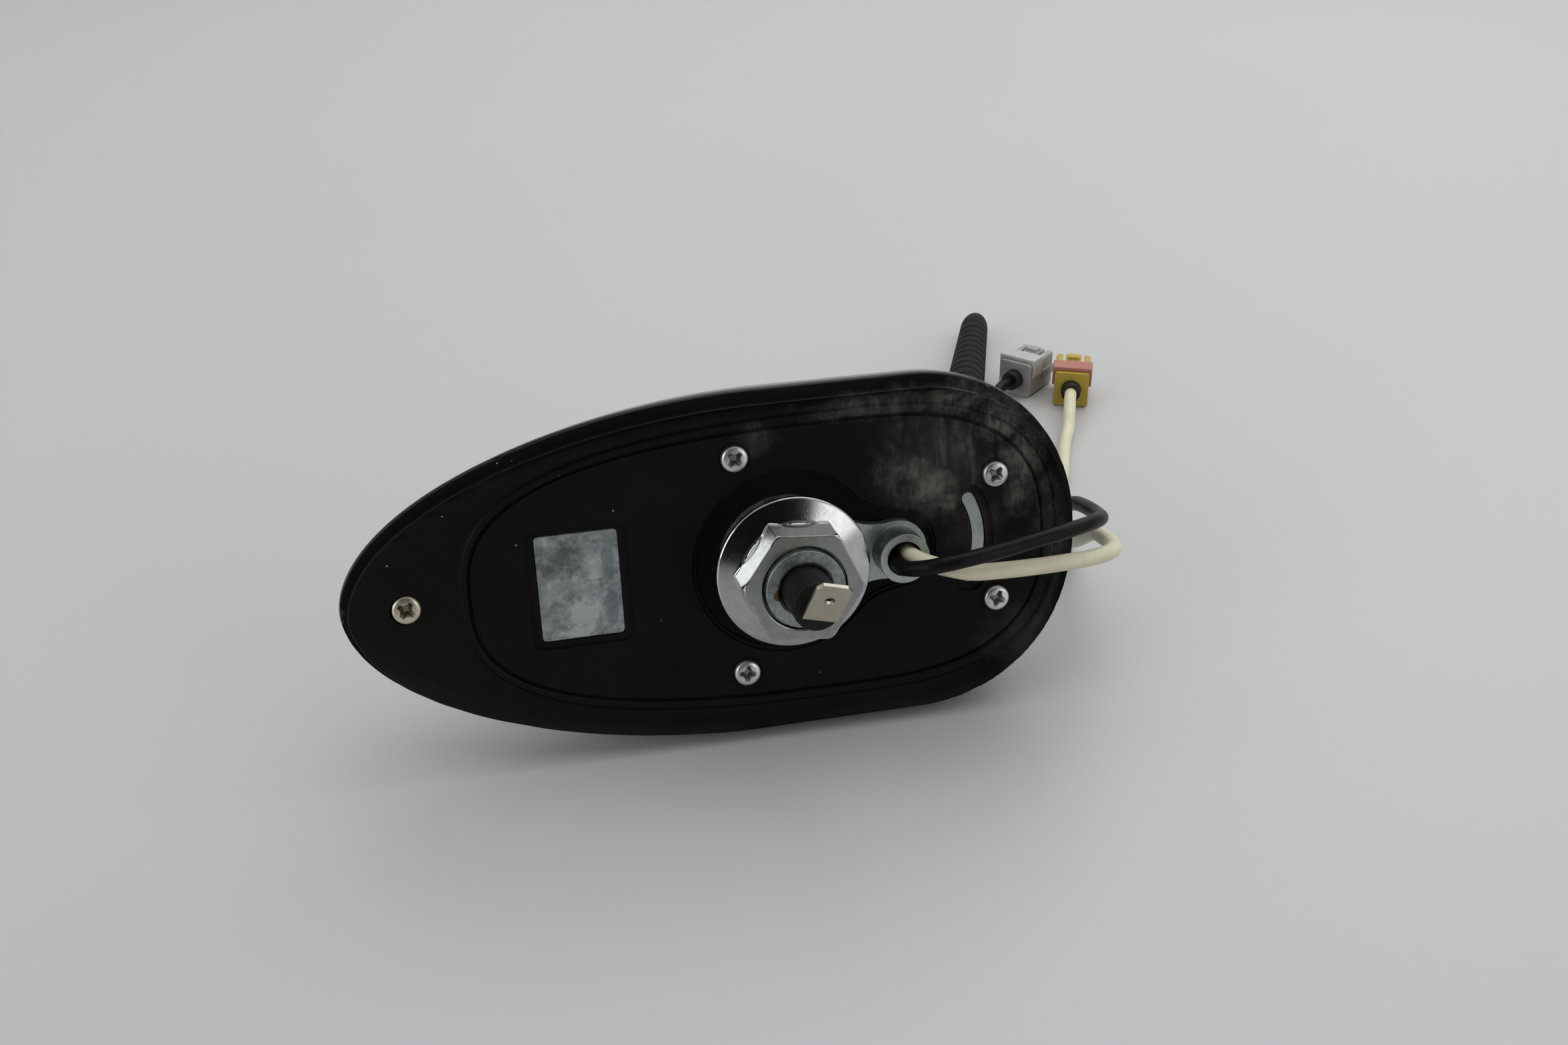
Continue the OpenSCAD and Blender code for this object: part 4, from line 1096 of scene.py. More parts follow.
# Blotches on the zinc: centre and reach in millimetres, warp and softness
PAD_WHITE = [
    ((36.8, -5.6, 1), (3.4, 4.0, 4), 2.6, 0.5), ((38.5, -8.6, 1), (5, 1.8, 4), 2.6, 0.6),
    ((34.8, 2.5, 1), (1.4, 5, 4), 2.6, 0.9),
]
PAD_DARK = [((42.2, 3.4, 1), (2.4, 2.8, 4), 2.4, 0.9), ((40, 5, 1), (5, 4, 4), 2.4, 0.9)]
PAD_BLUE = [((32.0, -4.6, 1), (1.5, 4.2, 4), 1.2, 0.4), ((31.9, 4, 1), (1.3, 5, 4), 1.2, 0.4)]
PAD_LINE = ((34.5, 0.7, 1), (4.5, 0.13, 4), 0.4, 0.8)
STUD_RESIDUE = ((4.4, -0.2, -14.9), (1.3, 1.5, 2), 2.6, 0.4)


def zinc_finish(s):
    """Die-cast zinc: blue-grey skin with white bloom, a drag line and a fine cast grain; behind the spigot
    the sides get a painted dark reflection.
    """
    made = Finish("zinc_cast", Metallic=0.82)
    bloom = made.mottle(3.2 * MM, 0.5, 0.35)
    fine = made.mottle(0.9 * MM, 0.42, 0.3)
    stain = made.mottle(7 * MM, 0.35, 0.25)
    dark_zinc = toned(s.zinc, 0.5)
    colour = made.blend(made.total(bloom, 0.5, fine, 0.35), s.zinc, s.bloom)
    colour = made.blend(stain, colour, dark_zinc, 0.35)
    white = made.math("MULTIPLY", made.blotches(*PAD_WHITE), made.raised(0.9, fine, -0.3))
    colour = made.blend(white, colour, s.bloom)
    colour = made.blend(made.blotches(*PAD_DARK), colour, dark_zinc, 0.8)
    blue = (s.zinc[0] * 0.8, s.zinc[1] * 0.92, s.zinc[2], 1.0)
    colour = made.blend(made.blotches(*PAD_BLUE), colour, blue, 0.6)
    colour = made.blend(made.blotches(PAD_LINE), colour, dark_zinc, 0.5)
    # Behind the spigot the faces that look down take the pale bloom and the sides the dark zinc: the sides'
    # dark reflection of the rubber is painted.
    flat = made.step(made.facing(), -0.75, -0.95)
    behind = made.step(made.axis(made.place, 0), -12 * MM, -13 * MM)
    colour = made.blend(behind, colour, made.blend(flat, dark_zinc, s.bloom), 0.55)
    out = made.vector("LENGTH", made.scaled(made.place, (1.0, 1.0, 0.0)))
    mouth = made.step(made.axis(made.place, 2), -14 * MM, -14.4 * MM)
    inner = made.math("MULTIPLY", made.step(out, 6.3 * MM, 5 * MM), mouth)
    grit = made.math("MULTIPLY", inner, made.specks(0.5 * MM, 0.5, 0.45))
    brown = made.most([made.blotches(STUD_RESIDUE), made.math("MULTIPLY", grit, 0.7)])
    made.coloured(brown, colour, s.residue)
    smooth = made.math("MULTIPLY", made.step(out, 23.5 * MM, 22.5 * MM), made.step(out, 8 * MM, 9 * MM))
    made.rough(made.raised(0.36, bloom, 0.2), smooth, -0.14)
    made.moulded(0.22 * MM, 0.02 * MM, 1.4)
    return made.material


# Roof fixing


class ANTENNA_OT_nut(bpy.types.Operator):
    """Chromed flange nut with chamfered hexagon"""

    bl_idname = "antenna.nut"
    bl_label = "Flange nut"

    def execute(self, context):
        s = settings().fixing
        count = 360
        angle = s.nut_turn + np.arange(count) * 2 * np.pi / count
        sector = (angle - s.nut_turn) % (np.pi / 3) - np.pi / 6
        flat_r = s.across_flats / 2
        corner = flat_r / math.cos(math.pi / 6)
        hexagon = smooth_min(flat_r / np.cos(sector), np.full(count, corner), 0.1 * MM)
        rim, bore = s.flange_diameter / 2, s.stud_diameter / 2 + 0.12 * MM
        tall = s.nut_height
        neck = flat_r + 0.6 * MM

        def around(radius, height):
            radius = np.broadcast_to(radius, count)
            height = np.broadcast_to(height, count)
            return np.stack([radius * np.cos(angle), radius * np.sin(angle), NUT_HIGH.z - height], axis=1)

        rows = [around(bore, 0.3 * MM), around(bore + 0.3 * MM, 0)]
        for back, height in ((0.35, 0), (0.1, 0.1), (0, 0.35), (0, 0.85), (0.1, 1.1), (0.3, 1.24)):
            rows.append(around(rim - back * MM, height * MM))
        for part in np.linspace(0.06, 1, 12):
            radius = rim - 0.3 * MM + (neck - rim + 0.3 * MM) * part
            height = 1.24 * MM + 1.14 * MM * part
            rows.append(around(smooth_max(np.full(count, radius), hexagon, 0.35 * MM), height))
        for back, height in ((0.35, 2.42), (0.16, 2.5), (0.05, 2.65)):
            rows.append(around(np.maximum(hexagon, flat_r + back * MM * 0.8), height * MM))
        rows.append(around(hexagon, 2.85 * MM))
        for height in np.linspace(2.95 * MM, tall - 0.5 * MM, 5):
            rows.append(around(hexagon, height))
        for down in np.linspace(0.45, 0.1, 6):
            cone = np.full(count, corner - (0.4 - down) * MM)
            rows.append(around(smooth_min(hexagon, cone, 0.06 * MM), tall - down * MM))
        last = smooth_min(hexagon, np.full(count, corner - 0.35 * MM), 0.06 * MM)
        for back, down in ((0.04, 0.03), (0.12, 0), (0.3, 0)):
            rows.append(around(last - back * MM, tall - down * MM))
        for out, down in ((0.8, 0), (0.62, 0), (0.5, 0.1), (0.42, 1.3), (0, 1.5)):
            rows.append(around(bore + out * MM, tall - down * MM))
        skin = Skin()
        rings = skin.rows(rows)
        skin.strip(rings[-1], rings[0])
        nut = skin.made("nut_flanged")
        shaded(nut, 40)
        dress(nut, chrome_finish(s), "flange_nut")
        return {"FINISHED"}


def chrome_finish(s):
    """Bright plating: mirror sides, a satin pitted end face and fine scratches."""
    made = Finish("nut_chrome", Metallic=1.0)
    end = made.step(made.facing("True Normal"), -0.93, -0.985)
    pits = made.specks(0.55 * MM, 0.5, 0.3)
    satin = made.mottle(1.6 * MM, 0.5, 0.5)
    streaks = made.noise(made.scaled(made.place, (1.0, 1.0, 0.2)), 1500.0, 4.0, 0.6)
    made.coloured(made.total(satin, 0.25, end, 0.6), s.chrome, toned(s.chrome, 0.5))
    made.rough(made.raised(0.045, end, 0.24), satin, 0.05)
    made.grain(made.raised(made.math("MULTIPLY", pits, end), streaks, 0.12), 0.012 * MM)
    return made.material


class ANTENNA_OT_terminal(bpy.types.Operator):
    """Insulator and bent spade terminal in the hollow stud"""

    bl_idname = "antenna.terminal"
    bl_label = "Power terminal"

    def execute(self, context):
        s = settings().terminal
        sleeve = softened("terminal_insulator", "insulator_sleeve", 0.25 * MM, segments=3)
        made = Finish("insulator_black", Specular=0.3)
        residue = made.rub_marks([((-3.5, 1, -23), (3, 4, 3), 900.0, 0.7)])
        made.coloured(residue, s.sleeve, s.residue)
        made.rough(0.42, made.mottle(2 * MM, 0.5, 0.5), 0.15)
        made.moulded(0.2 * MM, 0.01 * MM)
        dress(sleeve, made.material, "terminal_insulator")
        blade = softened("spade_terminal", "spade_blade", 0.09 * MM)
        dress(blade, blade_finish(s), "spade_terminal")
        return {"FINISHED"}


def blade_finish(s):
    """Tinned brass: warm grey with rolling lines and finger marks."""
    made = Finish("tab_nickel", Metallic=0.95)
    lines = made.noise(made.scaled(made.place, (0.2, 1.0, 1.0)), 3500.0, 3.0, 0.6)
    marks = made.mottle(2.4 * MM, 0.5, 0.4)
    made.coloured(marks, s.blade, toned(s.blade, 0.72), 0.5)
    made.rough(0.24, marks, 0.14)
    made.grain(lines, 0.01 * MM)
    return made.material


# Screws


def screw_head(name, top_d, shank_l, s):
    """Pan-head screw with a tapered cross recess, head down."""
    tall, shank = s.head_height, s.shank / 2
    r = top_d / 2
    screw = turned(name, [
        (0.3 * r, -tall), (0.66 * r, -tall * 0.985), (0.84 * r, -tall * 0.93), (0.95 * r, -tall * 0.8),
        (0.99 * r, -tall * 0.62), (r, -tall * 0.4), (r, -0.06 * MM), (r - 0.06 * MM, 0),
        (shank + 0.1 * MM, 0), (shank, 0.1 * MM), (shank, shank_l - 1 * MM), (shank * 0.6, shank_l),
    ])
    wide, reach, waist, deep = 0.13 * r, 0.64 * r, 0.27 * r, tall * 0.6
    quarter = [(reach, wide), (0.45 * r, 0.18 * r), (waist, waist), (0.18 * r, 0.45 * r), (wide, reach)]
    top = np.array([
        (x * math.cos(a) - y * math.sin(a), x * math.sin(a) + y * math.cos(a))
        for a in (0, math.pi / 2, math.pi, 1.5 * math.pi) for x, y in quarter
    ])[::-1]
    steps = ((0.4, deep), (0.9, 0.25 * MM), (1.12, -0.3 * MM))
    cut(screw, capped("recess", [at_height(top * share_in, up - tall)[::-1] for share_in, up in steps]))
    screw.data.transform(Matrix.Rotation(s.cross_turn, 4, "Z"))
    return screw


def placed_tree(name):
    """Geometry Nodes tree that sets one screw at each point."""
    inputs = [
        ("Geometry", GEOMETRY, None), ("Screw", "NodeSocketObject", None), ("Spread of turns", FLOAT, 0.6),
        ("Seed", "NodeSocketInt", 4), ("Material", MATERIAL, None),
    ]
    graph, given, made = named_tree(name, "GeometryNodeTree", inputs, [("Geometry", GEOMETRY)])
    shape = graph.node("GeometryNodeObjectInfo", {"Object": given["Screw"]}).outputs["Geometry"]
    most = given["Spread of turns"]
    spread = {2: graph.math("MULTIPLY", most, -1.0), 3: most, 8: given["Seed"]}
    angle = graph.node("FunctionNodeRandomValue", spread, data_type="FLOAT").outputs[1]
    turned_by = graph.node("ShaderNodeCombineXYZ", {2: angle}).outputs[0]
    placed = {"Points": given["Geometry"], "Instance": shape, "Rotation": turned_by}
    points = graph.node("GeometryNodeInstanceOnPoints", placed).outputs[0]
    graph.feed(made[0], graph.realised(points, given["Material"]))
    return graph.tree


def with_tree(piece, tree, values):
    """Runs a Geometry Nodes tree on a piece and keeps its result as a plain mesh."""
    change = piece.modifiers.new(tree.name, "NODES")
    change.node_group = tree
    for item in tree.interface.items_tree:
        if item.in_out == "INPUT" and item.name in values:
            change[item.identifier] = values[item.name]
    mesh, name = shown_mesh(piece), piece.name
    bpy.data.objects.remove(piece)
    return linked(name, mesh)


class ANTENNA_OT_screws(bpy.types.Operator):
    """Five cross-recess screws that hold the housing to the plate"""

    bl_idname = "antenna.screws"
    bl_label = "Screws"

    def execute(self, context):
        s = settings().screws
        tree = placed_tree("screws_at_points")
        rows = [
            (
                "front_screw", "screw_at_front", s.front_head, FRONT_SHANK, [FRONT_SCREW], s.brassy,
                "screw_brassy",
            ),
            ("middle_screws", "screws_at_middle", s.head, OTHER_SHANK, MIDDLE_SCREWS, s.zinc, "screw_zinc"),
            ("rear_screws", "screws_at_rear", s.head, OTHER_SHANK, REAR_SCREWS, s.zinc, "screw_zinc"),
        ]
        for node, name, head, shank_l, places, plating, slot in rows:
            screw = screw_head(name + "_one", head, shank_l, s)
            holder = linked(name, plain_mesh(name, [(x, y, PAD_BOTTOM) for x, y in places]))
            finish = plating_finish(node + "_plating", plating)
            piece = with_tree(holder, tree, {"Screw": screw, "Seed": len(node), "Material": finish})
            bpy.data.objects.remove(screw)
            shaded(piece, 34)
            dress(piece, finish, node)
        return {"FINISHED"}


def plating_finish(name, plating):
    """Plated steel with dulled patches, darker deep in the recess and on the head's side next to the gasket:
    grime and painted shade.
    """
    made = Finish(name, Metallic=0.95)
    dulled = made.mottle(1.1 * MM, 0.5, 0.4)
    # Darker deep in the cross recess and on the head's side next to the gasket: grime and painted shade.
    grime_and_shade = made.step(made.axis(made.place, 2), -1.05 * MM, -0.6 * MM)
    colour = made.blend(dulled, plating, toned(plating, 0.7), 0.3)
    grime_and_shade_tone = tuple(channel**2 * 0.26 for channel in plating[:3]) + (1.0,)
    made.coloured(grime_and_shade, colour, grime_and_shade_tone, 0.75)
    made.rough(0.27, dulled, 0.12)
    made.moulded(0.16 * MM, 0.003 * MM, 0.5)
    return made.material


# Mast


def mast_profile(s):
    """Radius and height along the ribbed rubber sleeve, from foot to tip."""
    tip = 18 * MM
    end = s.length - tip
    rings = int((end - 10 * MM) / s.ring_pitch)
    rows = [(4.4 * MM, 0), (7.35 * MM, 0), (7.6 * MM, 0.25 * MM), (7.6 * MM, 1.8 * MM), (7.45 * MM, 2.6 * MM),
            (7.0 * MM, 4 * MM), (6.3 * MM, 6 * MM), (6.0 * MM, 7.4 * MM), (5.9 * MM, 9 * MM)]

    def radius(height):
        return s.foot_radius + (s.tip_radius - s.foot_radius) * height / end

    for i in range(rings):
        start = 10 * MM + i * s.ring_pitch
        for part, deep in ((0, 1), (0.05, 0.8), (0.12, 0.25), (0.2, 0.04), (0.3, 0), (0.7, 0), (0.8, 0.04),
                           (0.88, 0.25), (0.95, 0.8)):
            height = start + part * s.ring_pitch
            rows.append((radius(height) - deep * s.ring_depth, height))
    start = 10 * MM + rings * s.ring_pitch
    for height in np.linspace(start, end, 4):
        deep = 1 if height == start else 0
        rows.append((radius(height) - deep * s.ring_depth, height))
    for a in np.linspace(4, 88, 24):
        u = math.sin(math.radians(a))
        rows.append((s.tip_radius * (1 - u**2.2) ** 0.625, end + tip * u))
    return rows


class ANTENNA_OT_mast(bpy.types.Operator):
    """Short leaning mast with its ringed rubber sleeve"""

    bl_idname = "antenna.mast"
    bl_label = "Mast"

    def execute(self, context):
        s = settings().mast
        sleeve = turned("mast_rings", mast_profile(s), 72)
        sleeve.data.transform(mast_matrix())
        shaded(sleeve, 50)
        made = Finish("mast_rubber", Specular=0.1)
        dusty = made.mottle(6 * MM, 0.5, 0.5)
        fine = made.mottle(0.8 * MM, 0.5, 0.5)
        made.coloured(made.total(dusty, 0.35, fine, 0.25), s.rubber, s.worn)
        made.rough(0.55, dusty, 0.12)
        made.moulded(0.3 * MM, 0.03 * MM)
        dress(sleeve, made.material, "mast_sleeve")
        return {"FINISHED"}


# Leads

# Routes of the two leads in millimetres, from the board out of the spigot, round
# the tail of the housing and along the surface on which the antenna lies.
BLACK_ROUTE = [
    (-18.8, -0.6, 8), (-18.8, -0.6, 3), (-18.8, -0.6, -2), (-18.9, -0.6, -6.4), (-19.9, -0.5, -9.8),
    (-22.3, 0.3, -12.6), (-26, 1.1, -13.9), (-31.5, 1.6, -13.7), (-37.5, 2.1, -12.8), (-43.5, 2.8, -12),
    (-49.5, 3.3, -10.8), (-54.8, 3.2, -8.2), (-58.4, 2.4, -4.2), (-60, 1.4, 0.6), (-60.6, 0.7, 7),
    (-61.1, -0.6, 14), (-62.3, -3.6, 22), (-64, -7.4, 30), (-66.2, -11.6, 39), (-68.7, -15.6, 48.5),
    (-71.3, -18.9, 58.5), (-74, -20.4, 68), (-76.6, -19.2, 77), (-79.4, -17.6, 86.5), (-80.9, -15.9, 96),
    (-82, -14.4, 105), (-82.8, -12.5, 113.5), (-83.5, -10, 120), (-84.6, -8.3, 125.5), (-87, -7.4, 129.8),
    (-90.7, -6.9, 133.1),
]
WHITE_ROUTE = [
    (-21.7, 0.4, 8), (-21.7, 0.4, 3), (-21.7, 0.4, -1.5), (-21.6, 0.35, -4.75), (-22.3, 0.15, -7.2),
    (-23.8, -0.2, -9.2), (-26.6, -0.95, -10.6), (-31, -2.2, -11), (-36, -2.7, -10.7), (-42.8, -3.0, -10.3),
    (-50, -3.1, -9.8), (-56, -3.4, -8.2), (-60.6, -4, -4.6), (-62.7, -4.6, 0.6), (-63.8, -5.6, 7.4),
    (-65.6, -7.6, 15), (-67.6, -10.8, 23), (-69.6, -14.6, 31.5), (-71.8, -18.4, 40.5), (-74.3, -21.4, 50),
    (-77.2, -22, 60), (-80.2, -20.2, 69.5), (-83.4, -18.8, 78), (-87, -17.8, 86), (-90.4, -16.5, 94),
    (-94, -15.2, 102), (-97, -13.6, 107.5), (-99.3, -11.3, 112.5), (-101.2, -9.6, 116.9),
    (-103.4, -8.8, 121.9),
]


def smooth_route(route, per_span=6):
    """Points along one smooth curve through a route, in metres."""
    points = np.array(route, float) * MM
    padded = np.vstack([2 * points[0] - points[1], points, 2 * points[-1] - points[-2]])
    made = []
    for a, b, c, d in zip(padded, padded[1:], padded[2:], padded[3:]):
        for t in np.arange(per_span) / per_span:
            bend, twist = 2 * a - 5 * b + 4 * c - d, 3 * b - a - 3 * c + d
            made.append(0.5 * (2 * b + (c - a) * t + bend * t**2 + twist * t**3))
    made.append(points[-1])
    return made


def lead_tree():
    """Geometry Nodes tree that sweeps a round jacket along a curve."""
    inputs = [
        ("Geometry", GEOMETRY, None), ("Diameter", FLOAT, 3 * MM), ("Sides", "NodeSocketInt", 28),
        ("Material", MATERIAL, None),
    ]
    graph, given, made = named_tree("round_lead", "GeometryNodeTree", inputs, [("Geometry", GEOMETRY)])
    radius = graph.math("MULTIPLY", given["Diameter"], 0.5)
    section = {"Resolution": given["Sides"], "Radius": radius}
    section = graph.node("GeometryNodeCurvePrimitiveCircle", section).outputs[0]
    tube = {"Curve": given["Geometry"], "Profile Curve": section, "Fill Caps": True}
    tube = graph.node("GeometryNodeCurveToMesh", tube).outputs[0]
    graph.feed(made[0], graph.realised(tube, given["Material"]))
    return graph.tree


def route_curve(name, points):
    data = bpy.data.curves.new(name, "CURVE")
    data.dimensions = "3D"
    line = data.splines.new("POLY")
    line.points.add(len(points) - 1)
    for knot, place in zip(line.points, points):
        knot.co = (*place, 1.0)
    return linked(name, data)


class ANTENNA_OT_leads(bpy.types.Operator):
    """Two slack coaxial leads from the spigot to their plugs"""

    bl_idname = "antenna.leads"
    bl_label = "Leads"

    def execute(self, context):
        s = settings().leads
        tree = lead_tree()
        rows = [
            ("black", BLACK_ROUTE, s.black_diameter, black_jacket(s), "grey"),
            ("white", WHITE_ROUTE, s.white_diameter, white_jacket(s), "yellow"),
        ]
        for tone, route, diameter, finish, plug in rows:
            name = f"lead_{tone}_jacket"
            points = smooth_route(route)
            values = {"Diameter": diameter, "Sides": s.sides, "Material": finish}
            lead = with_tree(route_curve(name, points), tree, values)
            tidy(lead)
            shaded(lead, 50)
            dress(lead, finish, f"{tone}_cable")
            on_it = [bpy.data.objects[f"{plug}_plug_{part}_soft"] for part in ("housing", "boot", "lock")]
            on_it += [f"{plug}_plug_barrel", f"{plug}_plug_contact"]
        return {"FINISHED"}


def black_jacket(s):
    return worn_finish(
        "lead_black", s.black, (0.12, 0.12, 0.12, 1.0), (2.2 * MM, 0.4, 0.5), 0.05, 0.34, 0.12,
        (0.5 * MM, 0.012 * MM, 1.0), Specular=0.16,
    )


def white_jacket(s):
    made = Finish("lead_white", Specular=0.45)
    grime = made.mottle(5 * MM, 0.4, 0.5)
    fine = made.specks(0.9 * MM, 0.2, 0.12)
    made.coloured(made.total(grime, 0.22, fine, 0.3), s.white, s.grime)
    made.rough(0.36, grime, 0.15)
    made.moulded(0.5 * MM, 0.012 * MM, 1.0)
    return made.material


# Plugs


def moulding_finish(name, colour, roughness=0.4):
    return worn_finish(
        name, colour, toned(colour, 0.6), (2.5 * MM, 0.45, 0.5), 0.3, roughness, 0.12,
        (0.25 * MM, 0.015 * MM), Specular=0.45,
    )


class ANTENNA_OT_plugs(bpy.types.Operator):
    """Square coaxial plugs on the ends of the leads"""

    bl_idname = "antenna.plugs"
    bl_label = "Plugs"

    def execute(self, context):
        s = settings().plugs
        boot = moulding_finish("boot_black", s.boot, 0.5)
        for plug, body, lock in (("grey", s.grey, s.grey_lock), ("yellow", s.yellow, s.pink_lock)):
            lock_slot = "lock_grey" if plug == "grey" else "lock_pink"
            parts = (
                ("housing", moulding_finish(f"plug_{plug}", body), f"plug_{plug}", s.edge * 0.6),
                ("boot", boot, "boot_black", s.edge),
                ("lock", moulding_finish(lock_slot, lock), lock_slot, s.edge),
            )
            for part, finish, slot, edge in parts:
                node = f"{plug}_plug_{part}"
                dress(softened(node, node + "_soft", edge), finish, node)
        return {"FINISHED"}


# Inner pieces


def plain_metal(name, colour, roughness):
    return worn_finish(
        name, toned(colour, 1.0), toned(colour, 0.75), (2 * MM, 0.5, 0.5), 0.4, roughness, 0.1,
        (0.2 * MM, 0.006 * MM), Metallic=1.0,
    )


class ANTENNA_OT_inside(bpy.types.Operator):
    """Finishes of the pieces inside the housing, the mast and the plugs"""

    bl_idname = "antenna.inside"
    bl_label = "Inner pieces"

    def execute(self, context):
        finishes = [
            (plain_metal("brass_turned", (0.62, 0.47, 0.2), 0.28),
             ["mast_ferrule", "mast_insert", "feed_strip", "grey_plug_contact", "yellow_plug_contact"]),
            (plain_metal("can_tinplate", (0.6, 0.61, 0.62), 0.3),
             ["shield_can", "grey_plug_barrel", "yellow_plug_barrel"]),
            (plain_metal("board_screw_zinc", (0.62, 0.65, 0.67), 0.3), ["board_screws"]),
            (plain_metal("silver_film", (0.78, 0.79, 0.8), 0.25), ["patch_electrode"]),
            (plain_metal("wire_copper", (0.6, 0.26, 0.12), 0.3), ["mast_winding"]),
            (moulding_finish("board_green", (0.012, 0.1, 0.04, 1.0), 0.3), ["circuit_board"]),
            (moulding_finish("component_black", (0.03, 0.03, 0.035, 1.0), 0.45), ["board_components"]),
            (moulding_finish("ceramic_buff", (0.6, 0.54, 0.4, 1.0), 0.55), ["patch_ceramic"]),
            (moulding_finish("core_glass_fibre", (0.62, 0.58, 0.42, 1.0), 0.4), ["mast_core"]),
            (moulding_finish("seal_rubber", (0.012, 0.012, 0.012, 1.0), 0.6), ["cable_seal"]),
        ]
        for finish, nodes in finishes:
            for node in nodes:
                coat(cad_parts[node].data, finish)
        return {"FINISHED"}


# Stage

# The table on which the antenna lies on its side, as a plane: its unit normal and
# its distance from the origin, and the camera that looks at the base from below.
TABLE_NORMAL = Vector((-0.0122, 0.9857, -0.1681)).normalized()
TABLE_OFFSET = -32.76 * MM
# The table, in metres from the spot under the stud: its two ends along the view, half
# its width, and the radius and height of its bend up to the back
TABLE_NEAR, TABLE_FAR, TABLE_HALF, TABLE_BEND, TABLE_BACK = -1.2, 0.72, 2.2, 0.3, 2.0
CAMERA_PLACE = Vector((58.71, 104.12, -279.46)) * MM
CAMERA_AIM = Vector((0.15, 7.49, 0.0)) * MM


def looking(place, direction, up):
    """Matrix of what stands at a place and looks along a direction."""
    back = -direction.normalized()
    right = up.cross(back).normalized()
    return Matrix.Translation(place) @ Matrix((right, back.cross(right), back)).transposed().to_4x4()


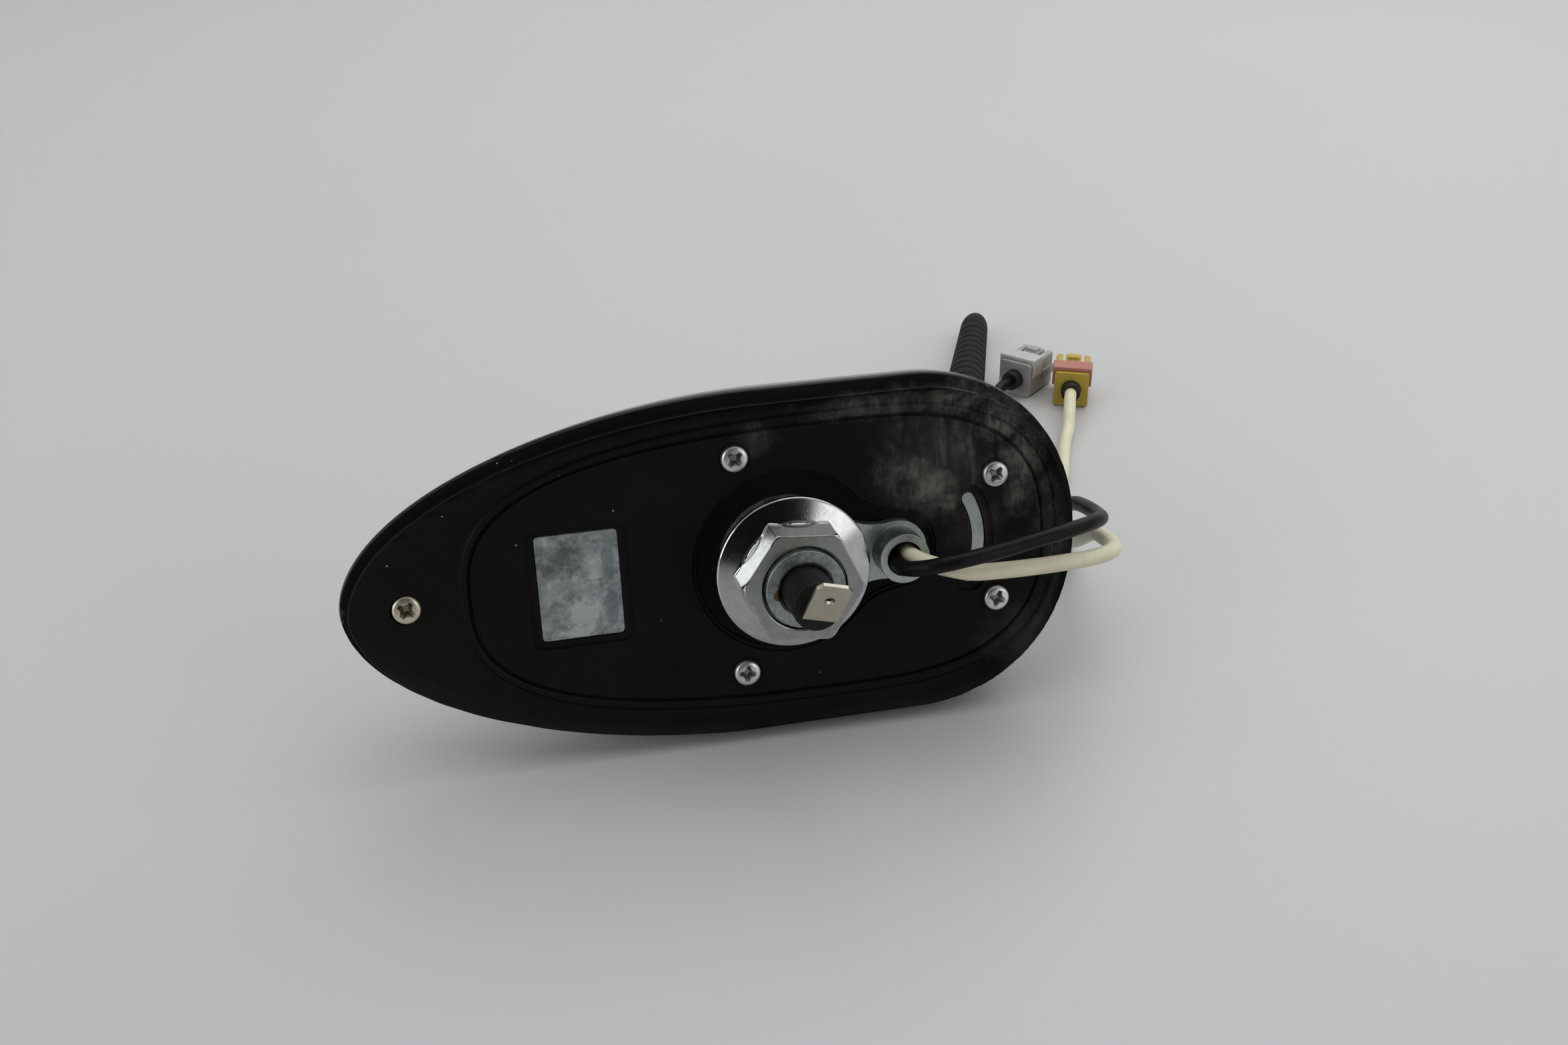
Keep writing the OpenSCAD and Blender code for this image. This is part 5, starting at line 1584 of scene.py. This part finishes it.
class ANTENNA_OT_stage(bpy.types.Operator):
    """Camera, lamps, surround and the pale table top"""

    bl_idname = "antenna.stage"
    bl_label = "Stage"

    def execute(self, context):
        s = settings().stage
        scene = context.scene
        lens = bpy.data.cameras.new("camera")
        lens.lens = s.lens
        lens.sensor_width, lens.sensor_fit = s.sensor, "HORIZONTAL"
        lens.clip_start, lens.clip_end = 0.01, 30
        scene.camera = linked("camera", lens)
        scene.camera.matrix_world = looking(CAMERA_PLACE, CAMERA_AIM - CAMERA_PLACE, TABLE_NORMAL)
        scene.view_settings.view_transform = "Standard"
        self.table(s)
        self.card(s)
        self.lamps(s)
        self.surround(scene, s)
        return {"FINISHED"}

    def table(self, s):
        """Table top seen from its front only, bent up to a back."""
        away = CAMERA_AIM - CAMERA_PLACE
        away = (away - TABLE_NORMAL * away.dot(TABLE_NORMAL)).normalized()
        side = TABLE_NORMAL.cross(away)
        origin = TABLE_NORMAL * TABLE_OFFSET
        rows = [(along, 0.0) for along in np.linspace(TABLE_NEAR, TABLE_FAR, 3)]
        for a in np.linspace(0, math.pi / 2, 16)[1:]:
            rows.append((TABLE_FAR + TABLE_BEND * math.sin(a), TABLE_BEND * (1 - math.cos(a))))
        rows.append((TABLE_FAR + TABLE_BEND, TABLE_BEND + TABLE_BACK))
        points = [
            origin + away * along + TABLE_NORMAL * height + side * across
            for along, height in rows for across in (TABLE_HALF, -TABLE_HALF)
        ]
        faces = [(2 * i, 2 * i + 1, 2 * i + 3, 2 * i + 2) for i in range(len(rows) - 1)]
        mesh = plain_mesh("table_top", points, faces)
        if mesh.polygons[0].normal.dot(TABLE_NORMAL) < 0:
            mesh.flip_normals()
        mesh.shade_smooth()
        table = linked("table_top", mesh)
        made = Finish("table_top", Specular=0.5)
        cloud = made.noise(made.place, 1.6, 2.0, 0.5)
        made.coloured(made.step(cloud, 0.3, 0.7), s.floor, toned(s.floor, 0.96))
        made.rough(0.32, cloud, 0.1)
        clear = made.node("ShaderNodeBsdfTransparent").outputs[0]
        back = made.node("ShaderNodeNewGeometry").outputs["Backfacing"]
        both = made.node("ShaderNodeMixShader", {0: back, 1: made.shader.outputs[0], 2: clear}).outputs[0]
        made.feed(made.output.inputs["Surface"], both)
        mesh.materials.append(made.material)
        table.visible_shadow = False

    def card(self, s):
        """Black card behind the camera, which gives the plating its dark reflections."""
        place = (CAMERA_PLACE - CAMERA_AIM).normalized() * s.card_distance
        stand = looking(place, -place, TABLE_NORMAL)
        half = s.card_width / 2
        corners = [stand @ Vector((x * half, y * half, 0)) for x, y in ((-1, -1), (1, -1), (1, 1), (-1, 1))]
        mesh = plain_mesh("black_card", corners, [(0, 1, 2, 3)])
        made = Finish("black_card", Specular=0.0)
        made.coloured(made.noise(made.place, 8.0), (0.005, 0.005, 0.005, 1.0), (0.01, 0.01, 0.01, 1.0))
        mesh.materials.append(made.material)
        card = linked("black_card", mesh)
        card.visible_camera = card.visible_shadow = False

    def lamps(self, s):
        rows = [
            ("key_lamp", Vector((-0.45, 0.95, 0.35)), 1.1, s.key),
            ("front_lamp", Vector((0.95, 0.3, -0.6)), 0.6, s.front),
            ("rear_lamp", Vector((-0.75, 0.15, -0.95)), 0.45, s.rear),
        ]
        for name, place, width, power in rows:
            light = bpy.data.lights.new(name, "AREA")
            light.shape, light.size, light.energy = "SQUARE", width, power
            linked(name, light).matrix_world = looking(place, -place, Vector((0, 0, 1)))

    def surround(self, scene, s):
        world = bpy.data.worlds.new("surround")
        world.use_nodes = True
        graph = Graph(world.node_tree)
        graph.tree.nodes.clear()
        values = {"Color": (0.97, 0.98, 1.0, 1.0), "Strength": s.sky}
        plain = graph.node("ShaderNodeBackground", values).outputs[0]
        pale = graph.node("ShaderNodeBackground", {"Color": s.floor, "Strength": 1.0}).outputs[0]
        rays = graph.node("ShaderNodeLightPath").outputs
        seen = graph.most([rays[f"Is {kind} Ray"] for kind in ("Camera", "Glossy", "Transmission")])
        both = graph.node("ShaderNodeMixShader", {0: seen, 1: plain, 2: pale}).outputs[0]
        graph.node("ShaderNodeOutputWorld", {"Surface": both})
        scene.world = world


# Panel and registration


class ANTENNA_PT_build(bpy.types.Panel):
    bl_idname = "ANTENNA_PT_build"
    bl_label = "Roof antenna"
    bl_space_type = "VIEW_3D"
    bl_region_type = "UI"
    bl_category = "Antenna"

    def draw(self, context):
        for operator, group in STEPS:
            box = self.layout.box()
            box.operator(operator.bl_idname)
            values = getattr(settings(), group) if group else None
            for key in values.__annotations__ if values else ():
                box.prop(values, key)


STEPS = [
    (ANTENNA_OT_stage, "stage"),
    (ANTENNA_OT_plugs, "plugs"),
    (ANTENNA_OT_leads, "leads"),
    (ANTENNA_OT_housing, "housing"),
    (ANTENNA_OT_gasket, "gasket"),
    (ANTENNA_OT_base, "fixing"),
    (ANTENNA_OT_nut, ""),
    (ANTENNA_OT_terminal, "terminal"),
    (ANTENNA_OT_screws, "screws"),
    (ANTENNA_OT_mast, "mast"),
    (ANTENNA_OT_inside, ""),
]
CLASSES = [
    HousingSettings, GasketSettings, FixingSettings, TerminalSettings, ScrewSettings, MastSettings,
    LeadSettings, PlugSettings, StageSettings, AntennaSettings,
] + [operator for operator, _ in STEPS] + [ANTENNA_PT_build]


def register():
    for item in CLASSES:
        bpy.utils.register_class(item)
    bpy.types.Scene.antenna = PointerProperty(type=AntennaSettings)


def unregister():
    del bpy.types.Scene.antenna
    for item in reversed(CLASSES):
        bpy.utils.unregister_class(item)


def main():
    register()
    for operator, _ in STEPS:
        group, name = operator.bl_idname.split(".")
        getattr(getattr(bpy.ops, group), name)()


if __name__ == "__main__":
    main()
